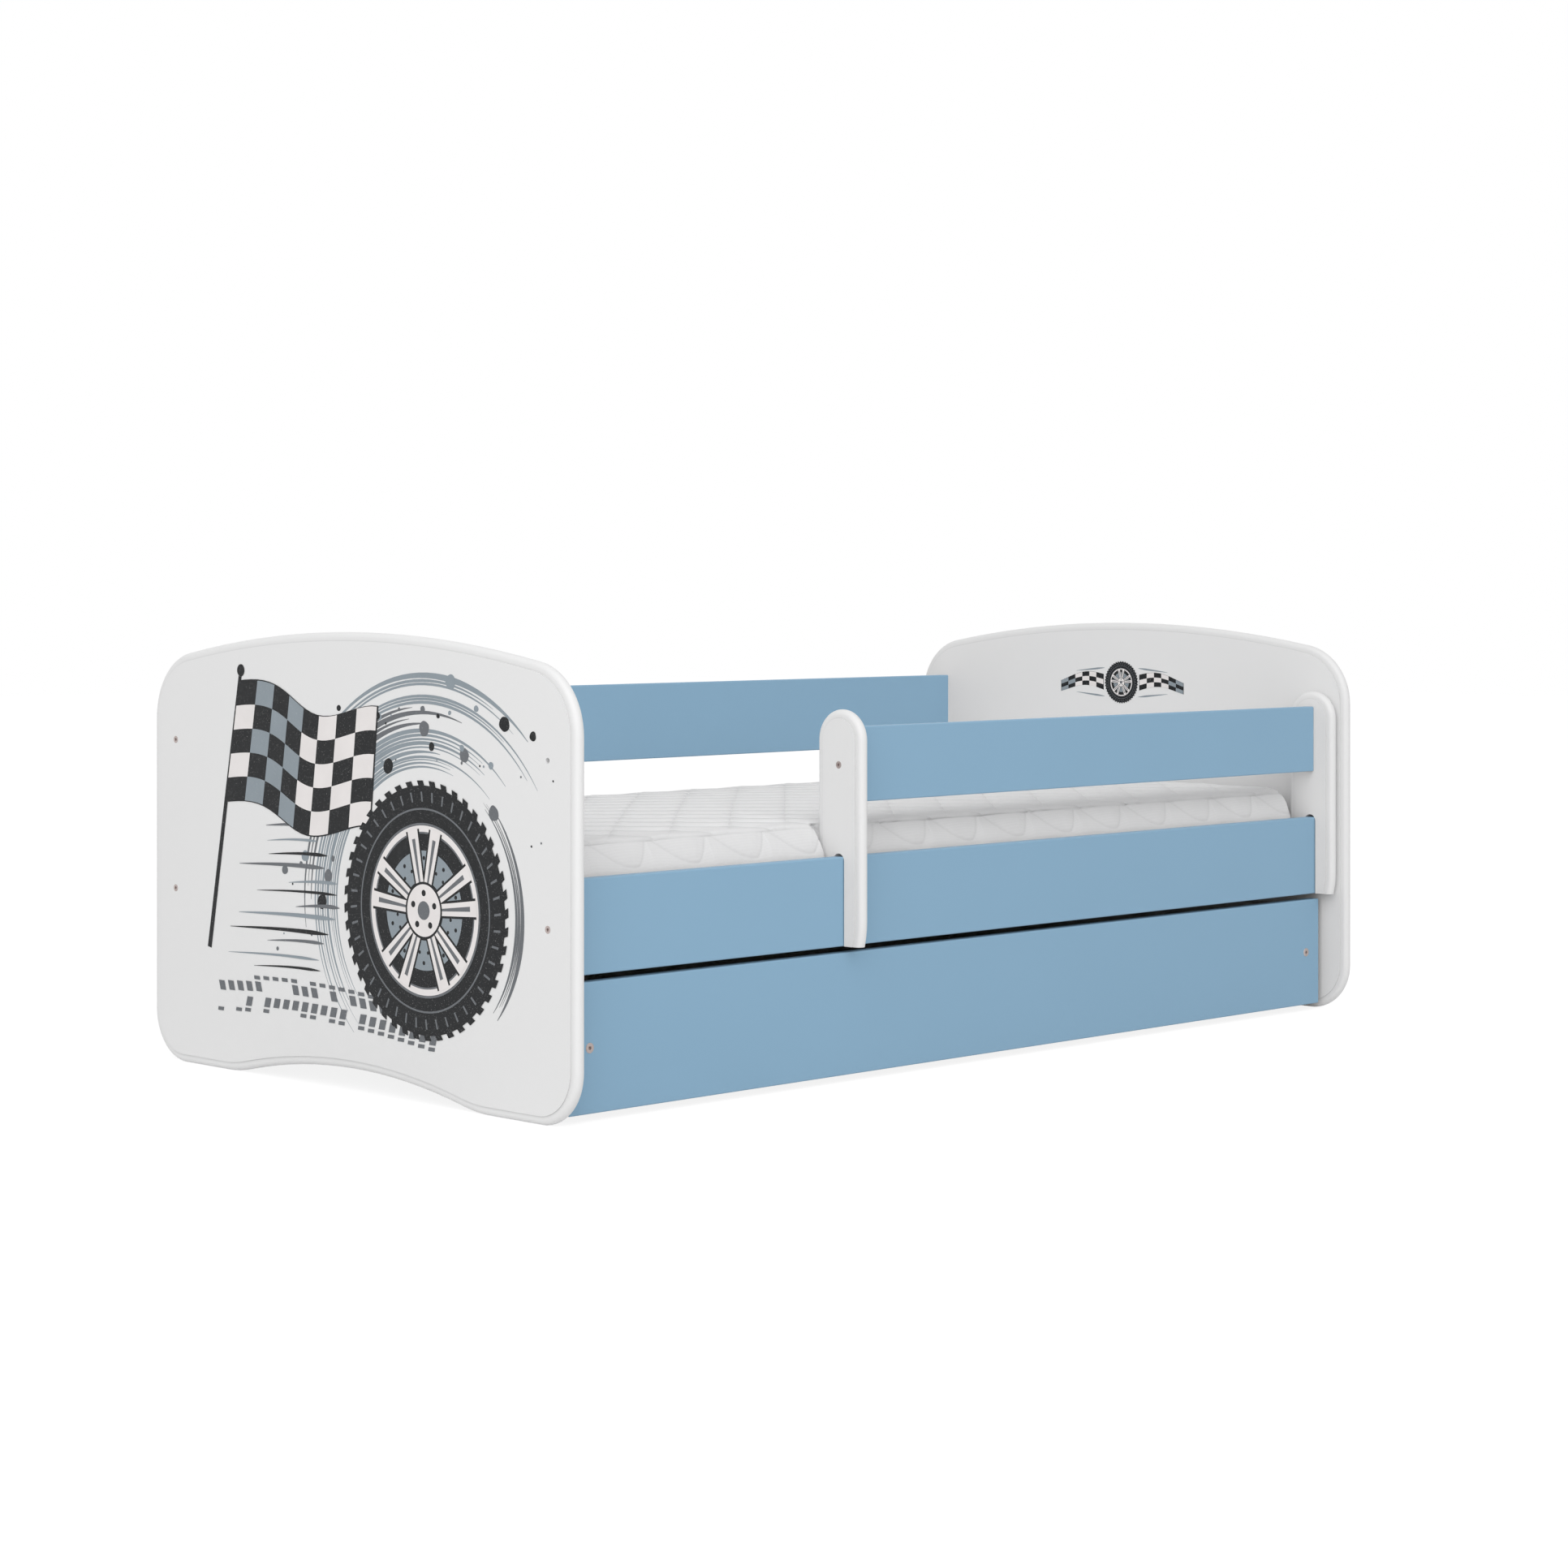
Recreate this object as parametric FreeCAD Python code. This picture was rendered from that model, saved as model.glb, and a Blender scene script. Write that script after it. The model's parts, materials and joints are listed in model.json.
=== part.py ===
import FreeCAD, Part
import math
import os

Vector = FreeCAD.Vector

# A child's bed with two arched end boards, a lift-off guard, a mattress and a rolling drawer.
# Millimetres. X runs from the footboard to the headboard, the open side faces -Y,
# and Z is up from the floor. The origin is on the floor under the middle of the bed.

# End boards: an arched top, rounded corners and a low arch between the two feet.
inner_length = 1604.0
board_thickness = 18.0
board_width = 910.0
board_height = 611.0
board_arch_radius = 2160.0
board_top_corner = 94.5
board_bottom_corner = 72.0
foot_arch_rise = 30.0
foot_arch_radius = 1086.0
foot_arch_blend = 250.0
foot_flat_trim = 0.5

# Routed edge of the end boards and guard posts: a small step, then a round.
edge_step_inset = 11.8
edge_step_depth = 1.5
edge_round = 7.2

# Rails: two low ones carry the slats, a high one closes the back.
rail_thickness = 18.0
rail_height = 121.0
rail_edge_inset = 45.0
low_rail_bottom = 184.5
rail_gap = 89.2
panel_edge_round = 2.0

# Socket-head panel screws and the dowels beside them.
screw_head_radius = 5.0
screw_head_height = 2.6
screw_shank_radius = 3.5
screw_length = 50.0
screw_tip_length = 4.0
screw_tip_radius = 1.6
socket_across_flats = 4.0
socket_depth = 2.6
dowel_radius = 4.0
dowel_length = 30.0
dowel_in_board = 11.0
dowel_spacing = 70.0
hole_clearance = 0.1
hole_end_clearance = 0.4

# Slatted base: battens on the low rails, slats across them, two webbing tapes below the slats.
batten_width = 25.0
batten_height = 30.0
batten_screw_count = 5
slat_count = 13
slat_drop = 62.5
slat_width = 70.0
slat_thickness = 18.0
slat_edge_round = 3.0
slat_end_gap = 2.0
slat_first_gap = 20.0
tape_width = 25.0
tape_thickness = 1.0
tape_inset = 87.0
wood_screw_head_radius = 4.0
wood_screw_head_height = 2.2
wood_screw_shank_radius = 2.0
wood_screw_length = 35.0

# Guard: a board between two posts whose slots hook over the front rail.
guard_length = 1097.7
guard_head_gap = 3.6
post_thickness = 18.0
post_width = 84.0
post_rise = 23.8
post_toe_height = 35.0
post_toe_radius = 136.0
slot_side_gap = 1.5
slot_seat_gap = 0.3
inner_leg_gap = 4.0
guard_board_thickness = 16.0
guard_board_height = 102.6
guard_gap = 73.1
guard_dowel_spacing = 60.0

# Mattress: quilted, crowned, a little lower at the back, notched round the posts.
mattress_end_gap = 5.0
mattress_side_gap = 4.0
mattress_front_height = 103.0
mattress_back_height = 97.0
mattress_crown = 4.0
mattress_draw_in = 3.0
mattress_corner = 40.0
mattress_corner_steps = 4
mattress_top_round = 24.0
mattress_bottom_round = 14.0
mattress_seat_gap = 0.3
notch_foot_gap = 3.0
notch_head_gap = 8.0
notch_corner_gap = 22.0
notch_depth_gap = 5.0
notch_corner_round = 12.0
quilt_pitch = 108.0
quilt_channel_width = 7.0
quilt_channel_depth = 2.0
quilt_margin = 34.0

# Drawer: a front flush with the front rail and a box behind it, on four castors.
drawer_front_gap = 10.0
drawer_front_bottom = 9.7
drawer_top_gap = 8.8
drawer_front_thickness = 18.0
drawer_screw_inset = 34.0
drawer_side_thickness = 16.0
drawer_side_drop = 10.7
drawer_side_lip = 10.0
drawer_back_room = 34.0
drawer_back_thickness = 16.0
drawer_bottom_thickness = 10.0
drawer_groove_depth = 6.0
drawer_groove_clearance = 0.2
drawer_dowel_spacing = 80.0
drawer_back_screw_spacing = 70.0

# Castors: a bent steel fork, a wheel on a riveted axle, four screws.
castor_end_inset = 90.0
castor_front_inset = 70.0
castor_back_inset = 60.0
castor_plate_length = 58.0
castor_plate_width = 42.0
castor_plate_corner = 5.0
castor_sheet = 2.0
castor_ear_width = 22.0
castor_ear_foot = 7.0
wheel_radius = 15.0
wheel_width = 14.0
wheel_shoulder = 2.5
wheel_dish_depth = 2.0
wheel_dish_radius = 10.0
wheel_hub_radius = 6.0
wheel_top_room = 4.0
wheel_side_room = 0.5
axle_radius = 3.0
axle_fit = 0.3
axle_head_radius = 5.0
axle_head_thickness = 1.4
castor_screw_length_spread = 44.0
castor_screw_width_spread = 28.0
castor_screw_head_radius = 3.2
castor_screw_head_height = 1.6
castor_screw_shank_radius = 1.75
castor_screw_length = 9.0

# Places worked out from the sizes above.
inner_end = inner_length / 2
outer_end = inner_end + board_thickness
rail_centre = board_width / 2 - rail_edge_inset - rail_thickness / 2
rail_inner_face = rail_centre - rail_thickness / 2
rail_outer_face = rail_centre + rail_thickness / 2
low_rail_top = low_rail_bottom + rail_height
low_rail_middle = low_rail_bottom + rail_height / 2
high_rail_bottom = low_rail_top + rail_gap
high_rail_middle = high_rail_bottom + rail_height / 2
slat_top = low_rail_top - slat_drop
slat_bottom = slat_top - slat_thickness
batten_top = slat_bottom
batten_bottom = batten_top - batten_height
batten_middle = batten_bottom + batten_height / 2
guard_right = inner_end - guard_head_gap
guard_left = guard_right - guard_length
post_bottom = low_rail_bottom
post_inner_edge = -rail_centre + post_width / 2
guard_board_left = guard_left + post_thickness
guard_board_right = guard_right - post_thickness
guard_board_bottom = low_rail_top + guard_gap
guard_board_top = guard_board_bottom + guard_board_height
guard_board_middle = guard_board_bottom + guard_board_height / 2
post_top = guard_board_top + post_rise
slot_width = rail_thickness + 2 * slot_side_gap
mattress_bottom = slat_top + mattress_seat_gap
mattress_length = inner_length - 2 * mattress_end_gap
mattress_width = 2 * rail_inner_face - 2 * mattress_side_gap
drawer_front_face = -rail_outer_face
drawer_box_front = drawer_front_face + drawer_front_thickness
drawer_box_back = rail_inner_face - drawer_back_room
drawer_half_length = inner_end - drawer_front_gap
drawer_side_centre = drawer_half_length - drawer_screw_inset
drawer_side_inner = drawer_side_centre - drawer_side_thickness / 2
drawer_side_outer = drawer_side_centre + drawer_side_thickness / 2
drawer_front_top = low_rail_bottom - drawer_top_gap
drawer_middle = (drawer_front_bottom + drawer_front_top) / 2
drawer_side_top = drawer_front_top - drawer_side_drop
castor_plate_bottom = 2 * wheel_radius + wheel_top_room
castor_plate_top = castor_plate_bottom + castor_sheet
drawer_bottom_under = castor_plate_top
drawer_bottom_over = drawer_bottom_under + drawer_bottom_thickness
drawer_side_bottom = drawer_bottom_under - drawer_side_lip

along_x = Vector(1, 0, 0)
along_y = Vector(0, 1, 0)
along_z = Vector(0, 0, 1)


def box(x_low, x_high, y_low, y_high, z_low, z_high):
    size = (x_high - x_low, y_high - y_low, z_high - z_low)
    return Part.makeBox(*size, Vector(x_low, y_low, z_low))


def edges_along(shape, direction):
    found = []
    for edge in shape.Edges:
        run = edge.Vertexes[-1].Point - edge.Vertexes[0].Point
        if run.Length > 0 and abs(run.normalize().dot(direction)) > 0.999:
            found.append(edge)
    return found


def panel(x_low, x_high, y_low, y_high, z_low, z_high, rounded_along, radius=panel_edge_round):
    """A board whose edges along one direction are lightly rounded."""
    shape = box(x_low, x_high, y_low, y_high, z_low, z_high)
    return shape.makeFillet(radius, edges_along(shape, rounded_along))


def aimed(shape, point, direction):
    """A copy of a shape made along +X from the origin, set at a point and turned."""
    placed = shape.copy()
    placed.Placement = FreeCAD.Placement(point, FreeCAD.Rotation(along_x, direction))
    return placed


def turned(profile):
    """A solid of revolution about the X axis, from points of (distance along, radius)."""
    points = [Vector(along, 0, radius) for along, radius in profile]
    return Part.Face(Part.makePolygon(points + points[:1])).revolve(Vector(), along_x, 360)


def outline_point(centre, radius, angle):
    turn = math.radians(angle)
    return Vector(0, centre[0] + radius * math.cos(turn), centre[1] + radius * math.sin(turn))


def arc(centre, radius, start, end):
    """An arc in the YZ plane, from one angle to another in degrees."""
    angles = (start, (start + end) / 2, end)
    return Part.Arc(*[outline_point(centre, radius, angle) for angle in angles]).toShape()


def line(start, end):
    return Part.LineSegment(Vector(0, *start), Vector(0, *end)).toShape()


def slab(edges, x_low, x_high):
    """A flat solid between two X positions, from a closed outline in the YZ plane."""
    face = Part.Face(Part.Wire(edges))
    face.translate(Vector(x_low, 0, 0))
    return face.extrude(Vector(x_high - x_low, 0, 0))


def routed_panel(outline, thickness, x_low):
    """A panel with the stepped round edge on both faces, from an outline made at any inset."""
    core_low = x_low + edge_step_depth
    core_high = x_low + thickness - edge_step_depth
    core = slab(outline(0), core_low, core_high)
    rim = []
    for edge in core.Edges:
        places = [vertex.Point.x for vertex in edge.Vertexes]
        if max(places) - min(places) < edge_step_depth / 10:
            rim.append(edge)
    raised = slab(outline(edge_step_inset), x_low, x_low + thickness)
    return core.makeFillet(edge_round, rim).fuse(raised).removeSplitter()


def panel_screw():
    socket = Part.Face(Part.makePolygon([
        outline_point((0, 0), socket_across_flats / math.sqrt(3), 60 * corner) for corner in range(7)
    ])).extrude(along_x * socket_depth)
    body = turned([
        (0, 0),
        (0, screw_head_radius),
        (screw_head_height, screw_shank_radius),
        (screw_length - screw_tip_length, screw_shank_radius),
        (screw_length, screw_tip_radius),
        (screw_length, 0),
    ])
    return body.cut(socket)


def panel_screw_hole():
    return turned([
        (0, 0),
        (0, screw_head_radius + hole_clearance),
        (screw_head_height, screw_shank_radius + hole_clearance),
        (screw_length + hole_end_clearance, screw_shank_radius + hole_clearance),
        (screw_length + hole_end_clearance, 0),
    ])


def plain_screw(head_radius, head_height, shank_radius, length, clearance=0.0):
    """A small countersunk screw, or with a clearance the hole for it."""
    end = length + (hole_end_clearance if clearance else 0)
    return turned([
        (0, 0),
        (0, head_radius + clearance),
        (head_height, shank_radius + clearance),
        (end, shank_radius + clearance),
        (end, 0),
    ])


def dowel(clearance=0.0):
    """A dowel along +X from the end in the thinner piece, or with a clearance the hole for it."""
    end_room = hole_end_clearance if clearance else 0
    length = dowel_length + 2 * end_room
    start = Vector(-end_room, 0, 0)
    return Part.makeCylinder(dowel_radius + clearance, length, start, along_x)


def joint_places(face_x, outward, y, middle_z, spacing):
    """The screw and the two dowels where a rail or board ends on a face: head points and aims."""
    inward = along_x * -outward
    screw_at = Vector(face_x, y, middle_z)
    dowels_at = [Vector(face_x, y, middle_z + side * spacing / 2) for side in (-1, 1)]
    return screw_at, dowels_at, inward


class Fastened:
    """Collects the screws and dowels of one assembly and the holes that they need."""

    def __init__(self):
        self.screws = []
        self.dowels = []
        self.holes = []

    def screw(self, point, aim):
        self.screws.append(aimed(panel_screw(), point, aim))
        self.holes.append(aimed(panel_screw_hole(), point, aim))

    def dowel(self, point, aim):
        self.dowels.append(aimed(dowel(), point, aim))
        self.holes.append(aimed(dowel(hole_clearance), point, aim))

    def butt_joint(self, face_x, outward, thickness, y, middle_z, spacing):
        """One screw from the outer face, and two dowels that start inside the thickness."""
        screw_at, dowels_at, inward = joint_places(face_x, outward, y, middle_z, spacing)
        self.screw(screw_at, inward)
        for point in dowels_at:
            self.dowel(point + inward * (thickness - dowel_in_board), inward)


def board_outline(inset):
    """The end board's outline in the YZ plane, drawn in by an inset all round."""
    half = board_width / 2 - inset
    floor = inset - foot_flat_trim
    arch_centre = (0, board_height - board_arch_radius)
    arch_radius = board_arch_radius - inset
    corner = board_top_corner - inset
    corner_y = half - corner
    corner_z = arch_centre[1] + math.sqrt((arch_radius - corner) ** 2 - corner_y ** 2)
    arch_end = math.degrees(math.atan2(corner_z - arch_centre[1], corner_y))
    toe = board_bottom_corner - inset
    toe_y = half - toe
    toe_z = floor + toe
    cut_centre = (0, foot_arch_rise - foot_arch_radius)
    cut_radius = foot_arch_radius + inset
    blend = foot_arch_blend - inset
    blend_z = floor + blend
    blend_y = math.sqrt((cut_radius + blend) ** 2 - (blend_z - cut_centre[1]) ** 2)
    cut_end = math.degrees(math.atan2(blend_z - cut_centre[1], blend_y))
    return [
        line((half, toe_z), (half, corner_z)),
        arc((corner_y, corner_z), corner, 0, arch_end),
        arc(arch_centre, arch_radius, arch_end, 180 - arch_end),
        arc((-corner_y, corner_z), corner, 180 - arch_end, 180),
        line((-half, corner_z), (-half, toe_z)),
        arc((-toe_y, toe_z), toe, 180, 270),
        line((-toe_y, floor), (-blend_y, floor)),
        arc((-blend_y, blend_z), blend, 270, 360 - cut_end),
        arc(cut_centre, cut_radius, 180 - cut_end, cut_end),
        arc((blend_y, blend_z), blend, 180 + cut_end, 270),
        line((blend_y, floor), (toe_y, floor)),
        arc((toe_y, toe_z), toe, 270, 360),
    ]


def end_board(x_low, holes):
    shape = routed_panel(board_outline, board_thickness, x_low)
    below_floor = box(
        x_low, x_low + board_thickness, -board_width, board_width, -2 * foot_flat_trim, 0
    )
    return shape.cut([below_floor] + holes)


def spare_hole(x_low):
    """The plain hole that is left open at the front, level with the high rail."""
    start = Vector(x_low, -rail_centre, high_rail_middle)
    return Part.makeCylinder(screw_shank_radius + hole_clearance, board_thickness, start, along_x)


def rail(y_centre, z_low, holes):
    shape = panel(
        -inner_end, inner_end,
        y_centre - rail_thickness / 2, y_centre + rail_thickness / 2,
        z_low, z_low + rail_height, along_x,
    )
    return shape.cut(holes)


def frame_joints():
    fastened = Fastened()
    rails = [
        (-rail_centre, low_rail_middle),
        (rail_centre, low_rail_middle),
        (rail_centre, high_rail_middle),
    ]
    for outward in (-1, 1):
        for y, middle_z in rails:
            fastened.butt_joint(
                outward * outer_end, outward, board_thickness, y, middle_z, dowel_spacing
            )
    return fastened


def batten_screw_places(side):
    """Screw heads on a batten's inner face, evenly along it, and their aim into the rail."""
    pitch = inner_length / batten_screw_count
    face_y = side * (rail_inner_face - batten_width)
    points = []
    for index in range(batten_screw_count):
        points.append(Vector(-inner_end + (index + 0.5) * pitch, face_y, batten_middle))
    return points, along_y * side


def batten_screw(clearance=0.0):
    return plain_screw(
        wood_screw_head_radius, wood_screw_head_height,
        wood_screw_shank_radius, wood_screw_length, clearance,
    )


def slat_centres():
    first = -inner_end + slat_first_gap + slat_width / 2
    pitch = -2 * first / (slat_count - 1)
    return [first + index * pitch for index in range(slat_count)]


def slat_screw_places():
    """The first and last slats are screwed down to both battens."""
    points = []
    for x in (slat_centres()[0], slat_centres()[-1]):
        for side in (-1, 1):
            points.append(Vector(x, side * (rail_inner_face - batten_width / 2), slat_top))
    return points


def batten(side, holes):
    faces = sorted((side * rail_inner_face, side * (rail_inner_face - batten_width)))
    shape = box(-inner_end, inner_end, *faces, batten_bottom, batten_top)
    return shape.cut(holes)


def slat(x_centre, holes):
    half_length = rail_inner_face - slat_end_gap
    shape = panel(
        x_centre - slat_width / 2, x_centre + slat_width / 2,
        -half_length, half_length, slat_bottom, slat_top, along_y, slat_edge_round,
    )
    return shape.cut(holes)


def slat_tape(side):
    centre_y = side * (rail_inner_face - batten_width - tape_inset)
    ends = slat_centres()
    return box(
        ends[0] - slat_width / 2, ends[-1] + slat_width / 2,
        centre_y - tape_width / 2, centre_y + tape_width / 2,
        slat_bottom - tape_thickness, slat_bottom,
    )


def slot_arc_height():
    """How far the slot's arc centre lies below the rail's top, so that its end seats on the
    rail's two rounded top edges."""
    seat_radius = slot_width / 2 - slot_seat_gap - panel_edge_round
    edge_offset = rail_thickness / 2 - panel_edge_round
    return panel_edge_round + math.sqrt(seat_radius ** 2 - edge_offset ** 2)


def post_outline(inset):
    """The guard post's outer outline: a round top, straight sides and a toe that curves in.
    It runs on below the post's end, which is sawn off square after the edge is routed."""
    half = post_width / 2 - inset
    top_centre = (-rail_centre, post_top - post_width / 2)
    back = -rail_centre + half
    front = -rail_centre - half
    floor = post_bottom - 2 * edge_step_inset + inset
    toe_z = post_bottom + post_toe_height
    toe_radius = post_toe_radius - inset
    toe_centre = (front + toe_radius, toe_z)
    toe_y = toe_centre[0] - math.sqrt(toe_radius ** 2 - (toe_z - floor) ** 2)
    toe_end = math.degrees(math.atan2(floor - toe_centre[1], toe_y - toe_centre[0])) % 360
    return [
        line((back, floor), (back, top_centre[1])),
        arc(top_centre, half, 0, 180),
        line((front, top_centre[1]), (front, toe_z)),
        arc(toe_centre, toe_radius, 180, toe_end),
        line((toe_y, floor), (back, floor)),
    ]


def guard_post(x_low, holes):
    shape = routed_panel(post_outline, post_thickness, x_low)
    half = slot_width / 2
    front = -rail_centre - half
    back = -rail_centre + half
    arc_z = low_rail_top - slot_arc_height()
    under = post_bottom - post_toe_height
    slot = [
        line((back, under), (back, arc_z)),
        arc((-rail_centre, arc_z), half, 0, 180),
        line((front, arc_z), (front, under)),
        line((front, under), (back, under)),
    ]
    x_high = x_low + post_thickness
    inner_leg_bottom = slat_top + inner_leg_gap
    inner_leg_end = box(
        x_low, x_high, -rail_centre, post_inner_edge + post_width, under, inner_leg_bottom
    )
    outer_leg_end = box(x_low, x_high, -rail_centre - post_width, -rail_centre, under, post_bottom)
    return shape.cut([slab(slot, x_low, x_high), inner_leg_end, outer_leg_end] + holes)


def guard_joints():
    fastened = Fastened()
    for face_x, outward in ((guard_left, -1), (guard_right, 1)):
        fastened.butt_joint(
            face_x, outward, post_thickness, -rail_centre, guard_board_middle, guard_dowel_spacing
        )
    return fastened


def guard_board(holes):
    shape = box(
        guard_board_left, guard_board_right,
        -rail_centre - guard_board_thickness / 2, -rail_centre + guard_board_thickness / 2,
        guard_board_bottom, guard_board_top,
    )
    return shape.makeFillet(panel_edge_round, shape.Edges).cut(holes)


def mattress_top_height(y):
    """Height of the top across the bed: a low crown in four flat strips, lower at the back."""
    strip = mattress_width / 4
    low = strip * max(-2, min(1, math.floor(y / strip)))
    heights = []
    for edge in (low, low + strip):
        across = 2 * edge / mattress_width
        lean = (mattress_back_height - mattress_front_height) / 2 * across
        middle = (mattress_front_height + mattress_back_height) / 2
        heights.append(middle + lean + mattress_crown * (1 - across ** 2))
    share = (y - low) / strip
    return mattress_bottom + heights[0] + (heights[1] - heights[0]) * share


def round_drop(distance, radius):
    """How far a quarter round lies below its top, at a distance in from its end."""
    return radius - math.sqrt(radius ** 2 - max(0, radius - distance) ** 2)


def mattress_section(x, side_inset, end_distance):
    """The mattress cut across: a flat bottom, rounded edges and the crowned top."""
    half = mattress_width / 2 - side_inset
    strip = mattress_width / 4
    top_drop = round_drop(end_distance, mattress_top_round)
    bottom = mattress_bottom + round_drop(end_distance, mattress_bottom_round)
    top_round = mattress_top_round - top_drop / 2
    bottom_round = mattress_bottom_round - (bottom - mattress_bottom) / 2
    rim_y = half - top_round
    low_y = half - bottom_round
    low_z = bottom + bottom_round
    front_z = mattress_top_height(-rim_y) - top_drop
    back_z = mattress_top_height(rim_y) - top_drop
    crown = [(y, mattress_top_height(y) - top_drop) for y in (strip, 0, -strip)]
    edges = [
        line((-low_y, bottom), (low_y, bottom)),
        arc((low_y, low_z), bottom_round, 270, 360),
        line((half, low_z), (half, back_z - top_round)),
        arc((rim_y, back_z - top_round), top_round, 0, 90),
        line((rim_y, back_z), crown[0]),
        line(crown[0], crown[1]),
        line(crown[1], crown[2]),
        line(crown[2], (-rim_y, front_z)),
        arc((-rim_y, front_z - top_round), top_round, 90, 180),
        line((-half, front_z - top_round), (-half, low_z)),
        arc((-low_y, low_z), bottom_round, 180, 270),
    ]
    section = Part.Wire(edges)
    section.translate(Vector(x, 0, 0))
    return section


def mattress_body():
    """Sections from end to end, rounded at the corners and drawn in at the waist."""
    half_length = mattress_length / 2
    ends = []
    for step in range(mattress_corner_steps + 1):
        turn = math.pi / 2 * step / mattress_corner_steps
        distance = mattress_corner * (1 - math.cos(turn))
        ends.append((distance, mattress_corner * (1 - math.sin(turn))))
    sections = [mattress_section(distance - half_length, inset, distance) for distance, inset in ends]
    sections.append(mattress_section(0, mattress_draw_in, half_length))
    for distance, inset in reversed(ends):
        sections.append(mattress_section(half_length - distance, inset, distance))
    return Part.makeLoft(sections, True, True)


def notch(x_low, x_high):
    """The upright hollow that the mattress keeps clear round a post's inner leg."""
    back = post_inner_edge + notch_depth_gap
    shape = box(x_low, x_high, -mattress_width, back, 0, board_height)
    inner = []
    for edge in edges_along(shape, along_z):
        if abs(edge.Vertexes[0].Point.y - back) < notch_depth_gap / 10:
            inner.append(edge)
    return shape.makeFillet(notch_corner_round, inner)


def quilt_channel(index, lean):
    """One sewn channel along a diagonal of the top, or nothing where it would be too short."""
    reach_x = mattress_length / 2 - quilt_margin
    reach_y = mattress_width / 2 - quilt_margin
    crossing = index * quilt_pitch
    first = max(-reach_x, crossing - reach_y)
    last = min(reach_x, crossing + reach_y)
    if last - first < quilt_pitch / 2:
        return None
    breaks = [crossing + strip * mattress_width / 4 for strip in (-1, 0, 1)]
    places = [first] + [x for x in breaks if first < x < last] + [last]
    across = Vector(1, -lean, 0).normalize() * quilt_channel_width
    rise = along_z * 2 * quilt_channel_depth
    sections = []
    for x in places:
        y = lean * (x - crossing)
        low = Vector(x, y, mattress_top_height(y) - quilt_channel_depth)
        sections.append(Part.makePolygon([low, low + rise - across, low + rise + across, low]))
    return Part.makeLoft(sections, True, True)


def quilt_channels(lean):
    """All channels that lean one way. The two ways cross as diamonds."""
    steps = int((mattress_length + mattress_width) / 2 / quilt_pitch)
    channels = [quilt_channel(index, lean) for index in range(-steps, steps + 1)]
    return [channel for channel in channels if channel]


def mattress():
    notches = [
        notch(guard_left - notch_foot_gap, guard_left + post_thickness + notch_head_gap),
        notch(guard_board_right - notch_corner_gap, outer_end),
    ]
    return mattress_body().cut(quilt_channels(1)).cut(quilt_channels(-1)).cut(notches)


def drawer_joints():
    fastened = Fastened()
    aim = along_y
    for side in (-1, 1):
        x = side * drawer_side_centre
        fastened.screw(Vector(x, drawer_front_face, drawer_middle), aim)
        for step in (-1, 1):
            z = drawer_middle + step * drawer_dowel_spacing / 2
            start = Vector(x, drawer_box_front - dowel_in_board, z)
            fastened.dowel(start, aim)
    return fastened


def drawer_back_joints():
    fastened = Fastened()
    middle = (drawer_bottom_over + drawer_side_top) / 2
    y = drawer_box_back - drawer_back_thickness / 2
    for side in (-1, 1):
        for step in (-1, 1):
            z = middle + step * drawer_back_screw_spacing / 2
            fastened.screw(Vector(side * drawer_side_outer, y, z), along_x * -side)
    return fastened


def drawer_bottom_panel(clearance=0.0):
    """The bottom panel, or with a clearance the grooves that hold it on all four sides."""
    reach_x = drawer_side_inner + drawer_groove_depth
    front = drawer_box_front - drawer_groove_depth
    back = drawer_box_back - drawer_back_thickness + drawer_groove_depth
    return box(
        -reach_x - clearance, reach_x + clearance, front - clearance, back + clearance,
        drawer_bottom_under - clearance, drawer_bottom_over + clearance,
    )


def drawer_front(holes):
    shape = box(
        -drawer_half_length, drawer_half_length, drawer_front_face, drawer_box_front,
        drawer_front_bottom, drawer_front_top,
    )
    return shape.makeFillet(panel_edge_round, shape.Edges).cut(holes)


def drawer_side(side, holes):
    faces = sorted((side * drawer_side_inner, side * drawer_side_outer))
    shape = panel(
        *faces, drawer_box_front, drawer_box_back, drawer_side_bottom, drawer_side_top, along_y
    )
    return shape.cut(holes)


def drawer_back(holes):
    shape = panel(
        -drawer_side_inner, drawer_side_inner,
        drawer_box_back - drawer_back_thickness, drawer_box_back,
        drawer_side_bottom, drawer_side_top, along_x,
    )
    return shape.cut(holes)


def castor_places():
    """Name and centre of each castor, on the underside of the drawer's bottom."""
    x = drawer_side_inner - castor_end_inset
    front = drawer_box_front + castor_front_inset
    back = drawer_box_back - drawer_back_thickness - castor_back_inset
    return {
        "front_left": (-x, front),
        "front_right": (x, front),
        "back_left": (-x, back),
        "back_right": (x, back),
    }


def castor_screw_points(x, y):
    points = []
    for step_x in (-0.5, 0.5):
        for step_y in (-0.5, 0.5):
            points.append(Vector(
                x + step_x * castor_screw_width_spread,
                y + step_y * castor_screw_length_spread,
                castor_plate_bottom,
            ))
    return points


def castor_screw(clearance=0.0):
    return plain_screw(
        castor_screw_head_radius, castor_screw_head_height,
        castor_screw_shank_radius, castor_screw_length, clearance,
    )


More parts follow.
